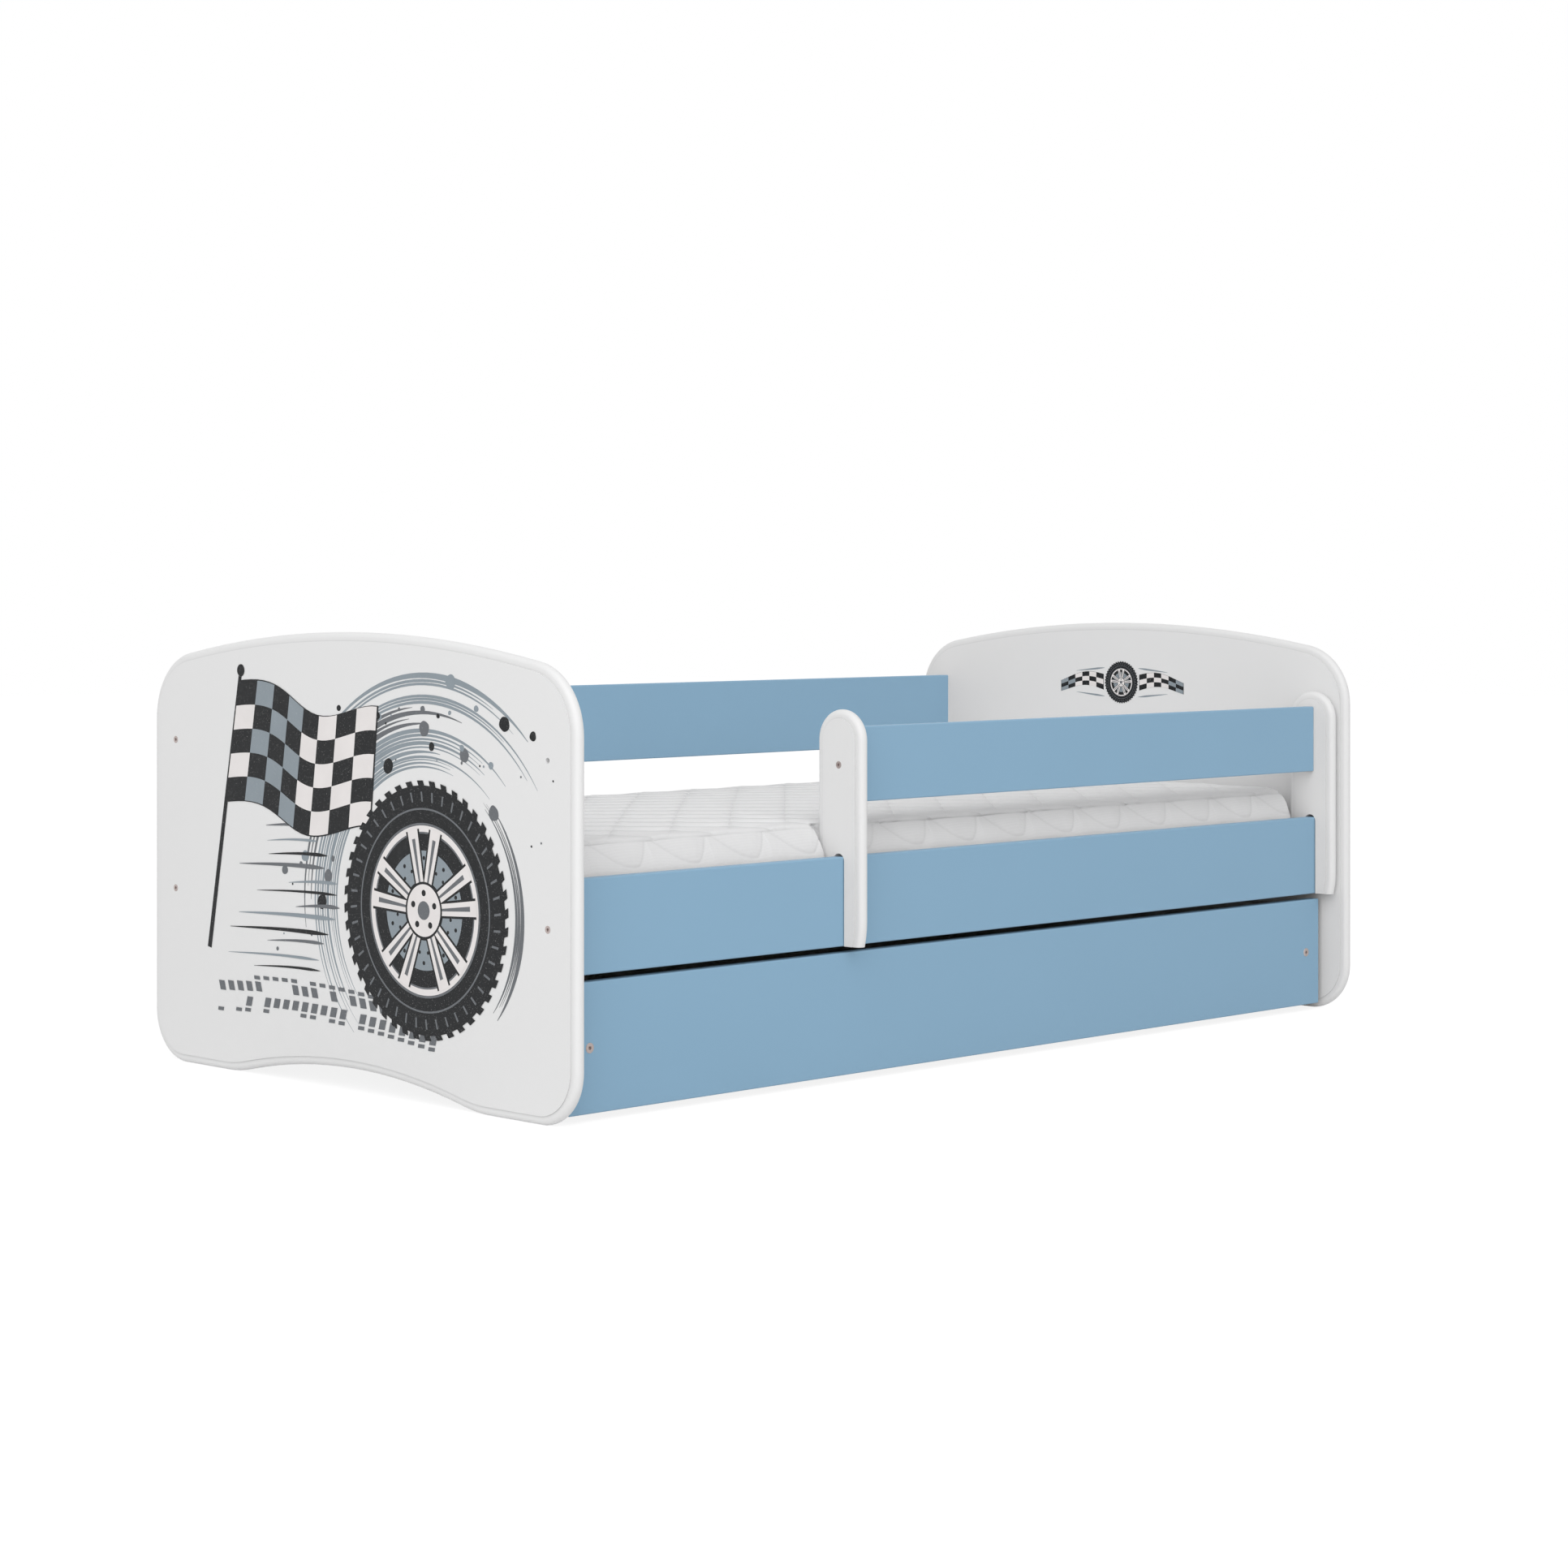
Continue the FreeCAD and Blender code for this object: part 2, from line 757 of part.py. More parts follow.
def castor_fork(x, y, holes):
    """A screw plate with two ears bent down, round at the axle."""
    plate = box(
        x - castor_plate_width / 2, x + castor_plate_width / 2,
        y - castor_plate_length / 2, y + castor_plate_length / 2,
        castor_plate_bottom, castor_plate_top,
    )
    plate = plate.makeFillet(castor_plate_corner, edges_along(plate, along_z))
    foot = castor_ear_foot
    ear_outline = [
        line((y - castor_ear_width / 2, castor_plate_bottom), (y - foot, wheel_radius)),
        arc((y, wheel_radius), foot, 180, 360),
        line((y + foot, wheel_radius), (y + castor_ear_width / 2, castor_plate_bottom)),
        line(
            (y + castor_ear_width / 2, castor_plate_bottom),
            (y - castor_ear_width / 2, castor_plate_bottom),
        ),
    ]
    ear_inner = wheel_width / 2 + wheel_side_room
    ear_outer = ear_inner + castor_sheet
    ears = [
        slab(ear_outline, x + ear_inner, x + ear_outer),
        slab(ear_outline, x - ear_outer, x - ear_inner),
    ]
    axle_hole = Part.makeCylinder(
        axle_radius + hole_clearance, 2 * ear_outer, Vector(x - ear_outer, y, wheel_radius), along_x
    )
    return plate.fuse(ears).removeSplitter().cut([axle_hole] + holes)


def castor_axle(x, y):
    reach = wheel_width / 2 + wheel_side_room + castor_sheet
    end = reach + axle_head_thickness
    shape = turned([
        (-end, 0),
        (-end, axle_head_radius),
        (-reach, axle_head_radius),
        (-reach, axle_radius),
        (reach, axle_radius),
        (reach, axle_head_radius),
        (end, axle_head_radius),
        (end, 0),
    ])
    shape.translate(Vector(x, y, wheel_radius))
    return shape


def castor_wheel(x, y):
    """A wheel with eased shoulders and a dished web between rim and hub."""
    half = wheel_width / 2
    web = half - wheel_dish_depth
    bore = axle_radius + axle_fit
    shoulder = wheel_radius - wheel_shoulder
    side = [
        (half, bore),
        (half, wheel_hub_radius),
        (web, wheel_hub_radius),
        (web, wheel_dish_radius),
        (half, wheel_dish_radius),
        (half, shoulder),
        (half - wheel_shoulder, wheel_radius),
    ]
    other = [(-along, radius) for along, radius in reversed(side)]
    shape = turned(side + other)
    shape.translate(Vector(x, y, wheel_radius))
    return shape


def build():
    nodes = {}
    frame = frame_joints()
    spare = [spare_hole(-outer_end), spare_hole(inner_end)]
    nodes["footboard"] = end_board(-outer_end, frame.holes + spare)
    nodes["headboard"] = end_board(inner_end, frame.holes + spare)

    batten_screws = []
    batten_holes = []
    for side in (-1, 1):
        points, aim = batten_screw_places(side)
        for point in points:
            batten_screws.append(aimed(batten_screw(), point, aim))
            batten_holes.append(aimed(batten_screw(hole_clearance), point, aim))
    rail_holes = frame.holes + batten_holes
    nodes["front_rail"] = rail(-rail_centre, low_rail_bottom, rail_holes)
    nodes["back_rail"] = rail(rail_centre, low_rail_bottom, rail_holes)
    nodes["back_guard_rail"] = rail(rail_centre, high_rail_bottom, frame.holes)
    nodes["frame_screws"] = Part.makeCompound(frame.screws)
    nodes["rail_dowels"] = Part.makeCompound(frame.dowels)

    slat_screws = [aimed(batten_screw(), point, -along_z) for point in slat_screw_places()]
    slat_holes = []
    for point in slat_screw_places():
        slat_holes.append(aimed(batten_screw(hole_clearance), point, -along_z))
    nodes["front_batten"] = batten(-1, batten_holes + slat_holes)
    nodes["back_batten"] = batten(1, batten_holes + slat_holes)
    nodes["batten_screws"] = Part.makeCompound(batten_screws)
    for index, x in enumerate(slat_centres()):
        nodes["slat_%02d" % (index + 1)] = slat(x, slat_holes)
    nodes["slat_screws"] = Part.makeCompound(slat_screws)
    nodes["front_slat_tape"] = slat_tape(-1)
    nodes["back_slat_tape"] = slat_tape(1)

    guard = guard_joints()
    nodes["guard_post_left"] = guard_post(guard_left, guard.holes)
    nodes["guard_post_right"] = guard_post(guard_board_right, guard.holes)
    nodes["guard_board"] = guard_board(guard.holes)
    nodes["guard_screws"] = Part.makeCompound(guard.screws)
    nodes["guard_dowels"] = Part.makeCompound(guard.dowels)

    nodes["mattress"] = mattress()

    front_joints = drawer_joints()
    back_joints = drawer_back_joints()
    groove = [drawer_bottom_panel(drawer_groove_clearance)]
    castor_screws = []
    castor_holes = []
    for x, y in castor_places().values():
        for point in castor_screw_points(x, y):
            castor_screws.append(aimed(castor_screw(), point, along_z))
            castor_holes.append(aimed(castor_screw(hole_clearance), point, along_z))
    nodes["drawer_front"] = drawer_front(front_joints.holes + groove)
    side_holes = front_joints.holes + back_joints.holes + groove
    nodes["drawer_side_left"] = drawer_side(-1, side_holes)
    nodes["drawer_side_right"] = drawer_side(1, side_holes)
    nodes["drawer_back"] = drawer_back(back_joints.holes + groove)
    nodes["drawer_bottom"] = drawer_bottom_panel().cut(castor_holes)
    nodes["drawer_front_screws"] = Part.makeCompound(front_joints.screws)
    nodes["drawer_front_dowels"] = Part.makeCompound(front_joints.dowels)
    nodes["drawer_back_screws"] = Part.makeCompound(back_joints.screws)
    for name, (x, y) in castor_places().items():
        nodes["castor_fork_" + name] = castor_fork(x, y, castor_holes)
        nodes["castor_axle_" + name] = castor_axle(x, y)
        nodes["castor_wheel_" + name] = castor_wheel(x, y)
    nodes["castor_screws"] = Part.makeCompound(castor_screws)
    return nodes


def main():
    os.makedirs("parts", exist_ok=True)
    for name, shape in build().items():
        shape.exportStep("parts/" + name + ".step")
        print(name, len(shape.Solids), shape.isValid(), round(shape.Volume / 1000, 1))


main()
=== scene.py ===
# %% [markdown]
# A child's bed: two white end boards with an arched top, blue rails, a lift-off guard, a quilted
# mattress and a long drawer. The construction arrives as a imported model, and nothing of it is moved
# here. This lesson sets up the camera and the light, gives every board, screw and slat its finish,
# sews the mattress cover and prints the two end boards.

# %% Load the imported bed
import json
import math
import random

import bmesh
import bpy
import numpy as np
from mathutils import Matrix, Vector


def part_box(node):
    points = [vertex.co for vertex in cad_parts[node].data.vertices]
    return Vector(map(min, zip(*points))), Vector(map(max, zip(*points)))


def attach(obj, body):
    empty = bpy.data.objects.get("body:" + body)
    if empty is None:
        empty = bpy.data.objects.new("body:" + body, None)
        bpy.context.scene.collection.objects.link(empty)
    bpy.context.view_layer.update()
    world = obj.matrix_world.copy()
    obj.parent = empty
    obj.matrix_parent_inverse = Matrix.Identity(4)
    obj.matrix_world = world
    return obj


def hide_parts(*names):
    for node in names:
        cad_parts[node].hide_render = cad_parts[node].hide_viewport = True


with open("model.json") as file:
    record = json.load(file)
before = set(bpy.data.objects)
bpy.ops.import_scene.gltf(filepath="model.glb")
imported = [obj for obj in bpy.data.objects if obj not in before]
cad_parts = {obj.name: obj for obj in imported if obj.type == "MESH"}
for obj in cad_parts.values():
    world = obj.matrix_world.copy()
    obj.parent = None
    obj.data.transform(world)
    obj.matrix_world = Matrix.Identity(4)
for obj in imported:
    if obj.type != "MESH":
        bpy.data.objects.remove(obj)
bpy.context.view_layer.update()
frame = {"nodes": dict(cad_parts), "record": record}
nodes = frame["nodes"]
scene = bpy.context.scene

# %% [markdown]
# The photographer kept the camera level, so upright edges stay upright in the picture, and then
# took the lower part of the image. Blender does the same with a level camera and a vertical shift.
# The place, heading and focal length come from the vanishing points of the bed's own edges.

# %% Camera
image_size = 1932
focal_length_pixels = 4014.6
horizon_row = 723.65
camera_place = (-3.4799, -3.4683, 0.6707)
camera_heading = math.radians(44.92)

camera_data = bpy.data.cameras.new("photo_camera")
camera_data.lens = camera_data.sensor_width * focal_length_pixels / image_size
camera_data.shift_y = (horizon_row - image_size / 2) / image_size
camera = bpy.data.objects.new("photo_camera", camera_data)
camera.location = camera_place
camera.rotation_euler = (math.pi / 2, 0, camera_heading - math.pi / 2)
scene.collection.objects.link(camera)
scene.camera = camera
print("lens:", round(camera_data.lens, 2), "mm, shift:", round(camera_data.shift_y, 4))

# %% [markdown]
# The light and every finish are node trees. Two small functions keep their set-up readable: one adds a
# node with its values, and the other asks what kind of ray has arrived.

# %% Helpers for node trees
def place_node(tree, kind, **values):
    """Adds a node and sets its properties, or its sockets where the name is a socket's."""
    node = tree.nodes.new(kind)
    for name, value in values.items():
        if name in node.inputs:
            node.inputs[name].default_value = value
        else:
            setattr(node, name, value)
    return node


def seen_directly(tree):
    """One where a ray comes from the camera, or from a mirror or glass that the camera sees."""
    path = place_node(tree, "ShaderNodeLightPath")
    total = path.outputs["Is Camera Ray"]
    for name in ("Is Glossy Ray", "Is Transmission Ray"):
        either = place_node(tree, "ShaderNodeMath", operation="MAXIMUM")
        tree.links.new(total, either.inputs[0])
        tree.links.new(path.outputs[name], either.inputs[1])
        total = either.outputs[0]
    return total


print("helpers:", place_node.__name__, seen_directly.__name__)

# %% [markdown]
# The bed stands in an even, bright studio. Most of the light comes from all round, which gives the
# soft darkening in corners, and one wide lamp at the photographer's side makes the front a little
# brighter than the inside. The background is white only to the eye of the camera: the Light Path
# node tells camera rays from the rays that light the bed, so no extra light falls on the boards.

# %% World
studio_light = 0.583

scene.view_settings.view_transform = "Standard"
world = bpy.data.worlds.new("studio")
world.use_nodes = True
world_tree = world.node_tree
world_tree.nodes.clear()
ambient = place_node(world_tree, "ShaderNodeBackground", Color=(1, 1, 1, 1), Strength=studio_light)
white = place_node(world_tree, "ShaderNodeBackground", Color=(1, 1, 1, 1), Strength=1)
choice = place_node(world_tree, "ShaderNodeMixShader")
world_out = place_node(world_tree, "ShaderNodeOutputWorld")
world_tree.links.new(seen_directly(world_tree), choice.inputs[0])
world_tree.links.new(ambient.outputs[0], choice.inputs[1])
world_tree.links.new(white.outputs[0], choice.inputs[2])
world_tree.links.new(choice.outputs[0], world_out.inputs[0])
scene.world = world
print("world light:", studio_light)

# %% [markdown]
# The floor is a roll of white paper. For the rays that light the bed it is a pale, matt sheet. To the
# camera it glows until it is nearly white, so only a faint shadow is left under the bed. A bright lamp
# on the floor would do that too, but it would also wash out the boards.

# %% Floor
floor_half_width = 14.0
floor_drop = 0.0004
floor_bounce, floor_shade, floor_glow = 0.8, 0.26, 0.86


def floor_material():
    """Pale for the light that it throws back, near white to the camera, with a faint shadow."""
    material = bpy.data.materials.new("studio_floor")
    material.use_nodes = True
    tree = material.node_tree
    tree.nodes.clear()
    pale = place_node(tree, "ShaderNodeBsdfDiffuse", Color=(*[floor_bounce] * 3, 1))
    shaded = place_node(tree, "ShaderNodeBsdfDiffuse", Color=(*[floor_shade] * 3, 1))
    glow = place_node(tree, "ShaderNodeEmission", Color=(1, 1, 1, 1), Strength=floor_glow)
    both = place_node(tree, "ShaderNodeAddShader")
    mix = place_node(tree, "ShaderNodeMixShader")
    out = place_node(tree, "ShaderNodeOutputMaterial")
    tree.links.new(shaded.outputs[0], both.inputs[0])
    tree.links.new(glow.outputs[0], both.inputs[1])
    tree.links.new(seen_directly(tree), mix.inputs[0])
    tree.links.new(pale.outputs[0], mix.inputs[1])
    tree.links.new(both.outputs[0], mix.inputs[2])
    tree.links.new(mix.outputs[0], out.inputs[0])
    return material


floor_mesh = bpy.data.meshes.new("floor")
reach = floor_half_width
floor_corners = [(-reach, -reach), (reach, -reach), (reach, reach), (-reach, reach)]
floor_mesh.from_pydata([(x, y, -floor_drop) for x, y in floor_corners], [], [(0, 1, 2, 3)])
floor_mesh.materials.append(floor_material())
floor = bpy.data.objects.new("floor", floor_mesh)
scene.collection.objects.link(floor)
print("floor:", 2 * floor_half_width, "m wide")

# %% [markdown]
# The lamp is as wide as a wall of windows, so its shadows have no hard edge. It hangs behind the
# camera, well above it, and looks at the middle of the bed.

# %% Lamp
lamp_power = 268.0
lamp_size = 8.0
lamp_place = (-4.2, -3.9, 4.0)
lamp_aim = (0, 0, 0.3)

lamp_data = bpy.data.lights.new("window", "AREA")
lamp_data.size = lamp_size
lamp_data.energy = lamp_power
lamp = bpy.data.objects.new("window", lamp_data)
lamp.location = lamp_place
lamp.rotation_euler = (Vector(lamp_aim) - Vector(lamp_place)).to_track_quat("-Z", "Y").to_euler()
scene.collection.objects.link(lamp)
print("lamp:", lamp_power, "W,", lamp_size, "m wide")

# %% [markdown]
# Two or more of the finishes share an effect: the boards share the skin of a pressed laminate, the
# screws and castors share the cloudy look of plated metal, and the mattress and the tapes share a knit.
# A shader node group holds such an effect once. Each material then places the group with its own
# values, and keeps its own shader.

# %% A group for any effect
def effect_group(name, inputs, outputs):
    """An empty node group: a place, colours and numbers go in, and outputs of the kinds given come out."""
    group = bpy.data.node_groups.new(name, "ShaderNodeTree")
    group.interface.new_socket(name="Place", in_out="INPUT", socket_type="NodeSocketVector")
    for label, value in inputs.items():
        kind = "NodeSocketColor" if isinstance(value, tuple) else "NodeSocketFloat"
        socket = group.interface.new_socket(name=label, in_out="INPUT", socket_type=kind)
        socket.default_value = value
    for label, kind in outputs.items():
        group.interface.new_socket(name=label, in_out="OUTPUT", socket_type=kind)
    start = group.nodes.new("NodeGroupInput")
    end = group.nodes.new("NodeGroupOutput")
    return group, start, end


print("helper:", effect_group.__name__)


# %% [markdown]
# Inside a group most steps are the same few: a sum or a product, a noise at some scale, a value that
# varies about a middle, a colour that gets lighter or darker. As functions they read like a recipe.

# %% Small steps in a node tree
def math_node(tree, operation, first, second):
    """A Math node on two values, each of them a number or another node's output."""
    node = place_node(tree, "ShaderNodeMath", operation=operation)
    for socket, value in zip(node.inputs, (first, second)):
        if isinstance(value, (int, float)):
            socket.default_value = value
        else:
            tree.links.new(value, socket)
    return node.outputs[0]


def noise(tree, place, scale, detail):
    """Noise over a place, finer with a larger scale and rougher with more detail."""
    node = place_node(tree, "ShaderNodeTexNoise", Detail=detail)
    tree.links.new(place, node.inputs["Vector"])
    if isinstance(scale, (int, float)):
        node.inputs["Scale"].default_value = scale
    else:
        tree.links.new(scale, node.inputs["Scale"])
    return node.outputs["Fac"]


def around(tree, value, middle, spread):
    """A noise value from 0 to 1, turned into a value about a middle."""
    centred = math_node(tree, "SUBTRACT", value, 0.5)
    return math_node(tree, "ADD", math_node(tree, "MULTIPLY", centred, spread), middle)


def shade(tree, colour, factor):
    """A colour made lighter or darker by a factor."""
    node = place_node(tree, "ShaderNodeVectorMath", operation="SCALE")
    tree.links.new(colour, node.inputs[0])
    tree.links.new(factor, node.inputs["Scale"])
    return node.outputs[0]


print("helpers:", math_node.__name__, noise.__name__, around.__name__, shade.__name__)

# %% [markdown]
# A laminate is printed paper under pressed resin. From close by its colour has faint clouds and
# specks, hands leave duller patches, and a fine pebble softens every reflection.

# %% Laminate skin
cloud_scale, speck_scale, handled_scale = 7.0, 420.0, 16.0
cloud_share, handled_spread = 0.7, 0.10


def laminate_skin():
    """Pressed board: faint clouds in the colour, uneven gloss and a fine pebbled surface."""
    group, start, end = effect_group(
        "laminate_skin",
        {"Colour": (1, 1, 1, 1), "Clouding": 0.03, "Gloss Middle": 0.45, "Pebble Scale": 900.0},
        {"Colour": "NodeSocketColor", "Roughness": "NodeSocketFloat", "Height": "NodeSocketFloat"},
    )
    place = start.outputs["Place"]
    clouds = noise(group, place, cloud_scale, detail=3.0)
    specks = noise(group, place, speck_scale, detail=1.0)
    both = math_node(group, "ADD", math_node(group, "MULTIPLY", clouds, cloud_share),
                     math_node(group, "MULTIPLY", specks, 1 - cloud_share))
    factor = around(group, both, 1.0, start.outputs["Clouding"])
    group.links.new(shade(group, start.outputs["Colour"], factor), end.inputs["Colour"])
    handled = noise(group, place, handled_scale, detail=4.0)
    gloss = around(group, handled, start.outputs["Gloss Middle"], handled_spread)
    group.links.new(gloss, end.inputs["Roughness"])
    group.links.new(noise(group, place, start.outputs["Pebble Scale"], detail=1.0), end.inputs["Height"])
    return group


groups = {"laminate_skin": laminate_skin()}
print("laminate skin sockets:", len(groups["laminate_skin"].interface.items_tree))

# %% [markdown]
# Screws and castors are steel with a thin skin of zinc. The zinc is a little cloudy, handling dulls it
# in patches, and small marks of the tools stay in the metal below. All three are noises of their own
# scale. Scratches drawn one by one would be lost on parts as small as these.

# %% Plated metal
spangle_scale, dull_scale, tool_mark_scale = 600.0, 190.0, 2600.0
dull_spread = 0.25


def plated_metal():
    """Zinc plating: a cloudy spangle in the colour, dull patches and fine tool marks."""
    group, start, end = effect_group(
        "plated_metal",
        {"Colour": (1, 1, 1, 1), "Spangle": 0.25, "Roughness Middle": 0.38},
        {"Colour": "NodeSocketColor", "Roughness": "NodeSocketFloat", "Height": "NodeSocketFloat"},
    )
    place = start.outputs["Place"]
    spangle = noise(group, place, spangle_scale, detail=3.0)
    factor = around(group, spangle, 1.0, start.outputs["Spangle"])
    group.links.new(shade(group, start.outputs["Colour"], factor), end.inputs["Colour"])
    dull = noise(group, place, dull_scale, detail=2.0)
    gloss = around(group, dull, start.outputs["Roughness Middle"], dull_spread)
    group.links.new(gloss, end.inputs["Roughness"])
    group.links.new(noise(group, place, tool_mark_scale, detail=1.0), end.inputs["Height"])
    return group


groups["plated_metal"] = plated_metal()
print("plated metal sockets:", len(groups["plated_metal"].interface.items_tree))

# %% [markdown]
# A knit is ribs of yarn. Two crossing sets of sine waves, multiplied, give the little bumps of the
# stitches. Fuzz lies over them, a broader nap makes the surface uneven to the light, and slow clouds
# vary the tone. A weave pattern from an image would show its repeat on a piece as long as a mattress.

# %% Knit
fuzz_scale, nap_scale, tone_scale = 1300.0, 130.0, 22.0
rib_height, nap_height, rib_painted_shade = 0.2, 4.0, 0.02


def knit():
    """Knitted or woven yarn: two crossing sets of ribs, fuzz over them and a cloudy tone."""
    group, start, end = effect_group(
        "knit",
        {"Colour": (1, 1, 1, 1), "Ribs": 1000.0, "Fuzz": 0.5, "Tone": 0.06},
        {"Colour": "NodeSocketColor", "Height": "NodeSocketFloat"},
    )
    place = start.outputs["Place"]
    split = place_node(group, "ShaderNodeSeparateXYZ")
    group.links.new(place, split.inputs[0])
    across = math_node(group, "ADD", split.outputs["X"], split.outputs["Z"])
    waves = []
    for run in (math_node(group, "ADD", across, split.outputs["Y"]),
                math_node(group, "SUBTRACT", across, split.outputs["Y"])):
        waves.append(math_node(group, "SINE", math_node(group, "MULTIPLY", run, start.outputs["Ribs"]), 0))
    ribs = math_node(group, "MULTIPLY", waves[0], waves[1])
    fuzz = math_node(group, "MULTIPLY", noise(group, place, fuzz_scale, detail=3.0), start.outputs["Fuzz"])
    nap = math_node(group, "MULTIPLY", noise(group, place, nap_scale, detail=3.0), nap_height)
    yarn = math_node(group, "ADD", math_node(group, "MULTIPLY", ribs, rib_height), fuzz)
    group.links.new(math_node(group, "ADD", yarn, nap), end.inputs["Height"])
    clouds = noise(group, place, tone_scale, detail=4.0)
    factor = around(group, clouds, 1.0, start.outputs["Tone"])
    # Painted light and shade of the yarn: the colour is a little lighter on the raised ribs, darker
    # between them.
    with_rib_shade = math_node(group, "ADD", factor, math_node(group, "MULTIPLY", ribs, rib_painted_shade))
    group.links.new(shade(group, start.outputs["Colour"], with_rib_shade), end.inputs["Colour"])
    return group


groups["knit"] = knit()
print("groups:", sorted(groups))

# %% [markdown]
# Each finish is a Principled shader fed by one of those groups. The object coordinates of a piece are
# its place in the bed, in metres, so a scale of 900 makes pebbles of about a millimetre. A bump node
# turns the group's height into a surface normal.

# %% A material from a group
def finish(name, effect, values, bump_height, **sockets):
    """A material whose colour, gloss and relief come from one effect group."""
    material = bpy.data.materials.new(name)
    material.use_nodes = True
    tree = material.node_tree
    shader = tree.nodes["Principled BSDF"]
    for label, value in sockets.items():
        shader.inputs[label.replace("_", " ")].default_value = value
    place = place_node(tree, "ShaderNodeTexCoord").outputs["Object"]
    group = place_node(tree, "ShaderNodeGroup", node_tree=groups[effect])
    tree.links.new(place, group.inputs["Place"])
    for label, value in values.items():
        group.inputs[label].default_value = value
    tree.links.new(group.outputs["Colour"], shader.inputs["Base Color"])
    if "Roughness" in group.outputs:
        tree.links.new(group.outputs["Roughness"], shader.inputs["Roughness"])
    bump = place_node(tree, "ShaderNodeBump", Distance=bump_height)
    tree.links.new(group.outputs["Height"], bump.inputs["Height"])
    tree.links.new(bump.outputs["Normal"], shader.inputs["Normal"])
    return material


print("helper:", finish.__name__)

# %% [markdown]
# White and blue boards are the same laminate in two colours, and the drawer box is a plainer one. The
# screws are duller than the castors, and the wheels are black plastic with a finer, deeper pebble. Each
# entry below says only how a finish differs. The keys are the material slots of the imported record.

# %% Finishes of the bed
white_lacquer = (0.84, 0.84, 0.84, 1)
blue_lacquer = (0.278, 0.463, 0.629, 1)
finishes = {
    "white_board": finish(
        "white_laminate", "laminate_skin",
        {"Colour": white_lacquer, "Clouding": 0.02, "Gloss Middle": 0.46}, bump_height=0.00003,
    ),
    "blue_board": finish(
        "blue_laminate", "laminate_skin",
        {"Colour": blue_lacquer, "Clouding": 0.04, "Gloss Middle": 0.48}, bump_height=0.00003,
        Specular_IOR_Level=0.2,
    ),
    "drawer_board": finish(
        "drawer_laminate", "laminate_skin",
        {"Colour": (0.76, 0.76, 0.76, 1), "Clouding": 0.04, "Gloss Middle": 0.5}, bump_height=0.00004,
    ),
    "screw_steel": finish(
        "screw_plating", "plated_metal",
        {"Colour": (0.50, 0.425, 0.405, 1), "Roughness Middle": 0.42}, bump_height=0.00002, Metallic=0.55,
    ),
    "castor_steel": finish(
        "castor_plating", "plated_metal",
        {"Colour": (0.62, 0.62, 0.64, 1), "Roughness Middle": 0.34}, bump_height=0.00002, Metallic=1.0,
    ),
    "castor_plastic": finish(
        "wheel_plastic", "laminate_skin",
        {"Colour": (0.03, 0.03, 0.032, 1), "Clouding": 0.3, "Gloss Middle": 0.55, "Pebble Scale": 1800.0},
        bump_height=0.00006,
    ),
    "webbing": finish(
        "tape_webbing", "knit",
        {"Colour": (0.74, 0.73, 0.70, 1), "Ribs": 1500.0, "Fuzz": 0.3, "Tone": 0.1},
        bump_height=0.0003, Roughness=0.85,
    ),
    "mattress_cover": finish(
        "cover_knit", "knit",
        {"Colour": (0.845, 0.845, 0.85, 1), "Ribs": 1700.0, "Fuzz": 0.4, "Tone": 0.08},
        bump_height=0.0002, Roughness=0.92, Sheen_Weight=0.12, Sheen_Roughness=0.6,
    ),
}
print("finishes:", sorted(finishes))

# %% [markdown]
# Slats, battens and dowels are bare pine. Growth rings are bands cut from a slow noise, drawn out
# along the board, with fine fibre between them. Slats run across the bed, battens and most dowels run
# along it, so the material exists in two directions.

# %% Pine
ring_pull, ring_squeeze, ring_rise = 0.9, 14.0, 9.0
ring_scale, ring_count, fibre_scale = 6.0, 9.0, 60.0
ring_share = 0.6
pale_ring, dark_ring = (0.71, 0.53, 0.33, 1), (0.56, 0.37, 0.20, 1)
planed_roughness, planed_spread, planed_relief = 0.6, 0.2, 0.0003


def pine(name, along):
    """Bare planed pine with rings drawn out along the X or the Y axis."""
    material = bpy.data.materials.new(name)
    material.use_nodes = True
    tree = material.node_tree
    shader = tree.nodes["Principled BSDF"]
    place = place_node(tree, "ShaderNodeTexCoord").outputs["Object"]
    pulls = (ring_pull, ring_squeeze) if along == "X" else (ring_squeeze, ring_pull)
    mapping = place_node(tree, "ShaderNodeMapping", Scale=(*pulls, ring_rise))
    tree.links.new(place, mapping.inputs["Vector"])
    rings = place_node(tree, "ShaderNodeTexNoise", Scale=ring_scale, Detail=2.5, Distortion=0.5)
    tree.links.new(mapping.outputs["Vector"], rings.inputs["Vector"])
    bands = math_node(tree, "FRACT", math_node(tree, "MULTIPLY", rings.outputs["Fac"], ring_count), 0)
    fibre = noise(tree, mapping.outputs["Vector"], fibre_scale, detail=3.0)
    tone = math_node(tree, "ADD", math_node(tree, "MULTIPLY", bands, ring_share),
                     math_node(tree, "MULTIPLY", fibre, 1 - ring_share))
    ramp = place_node(tree, "ShaderNodeValToRGB")
    ramp.color_ramp.elements[0].color = pale_ring
    ramp.color_ramp.elements[1].color = dark_ring
    tree.links.new(tone, ramp.inputs["Fac"])
    tree.links.new(ramp.outputs["Color"], shader.inputs["Base Color"])
    roughness = around(tree, fibre, planed_roughness, planed_spread)
    tree.links.new(roughness, shader.inputs["Roughness"])
    bump = place_node(tree, "ShaderNodeBump", Distance=planed_relief)
    tree.links.new(tone, bump.inputs["Height"])
    tree.links.new(bump.outputs["Normal"], shader.inputs["Normal"])
    return material


pine_along = pine("pine_along", "X")
finishes["slat_wood"] = pine("pine_across", "Y")
print("pine:", pine_along.name, finishes["slat_wood"].name)
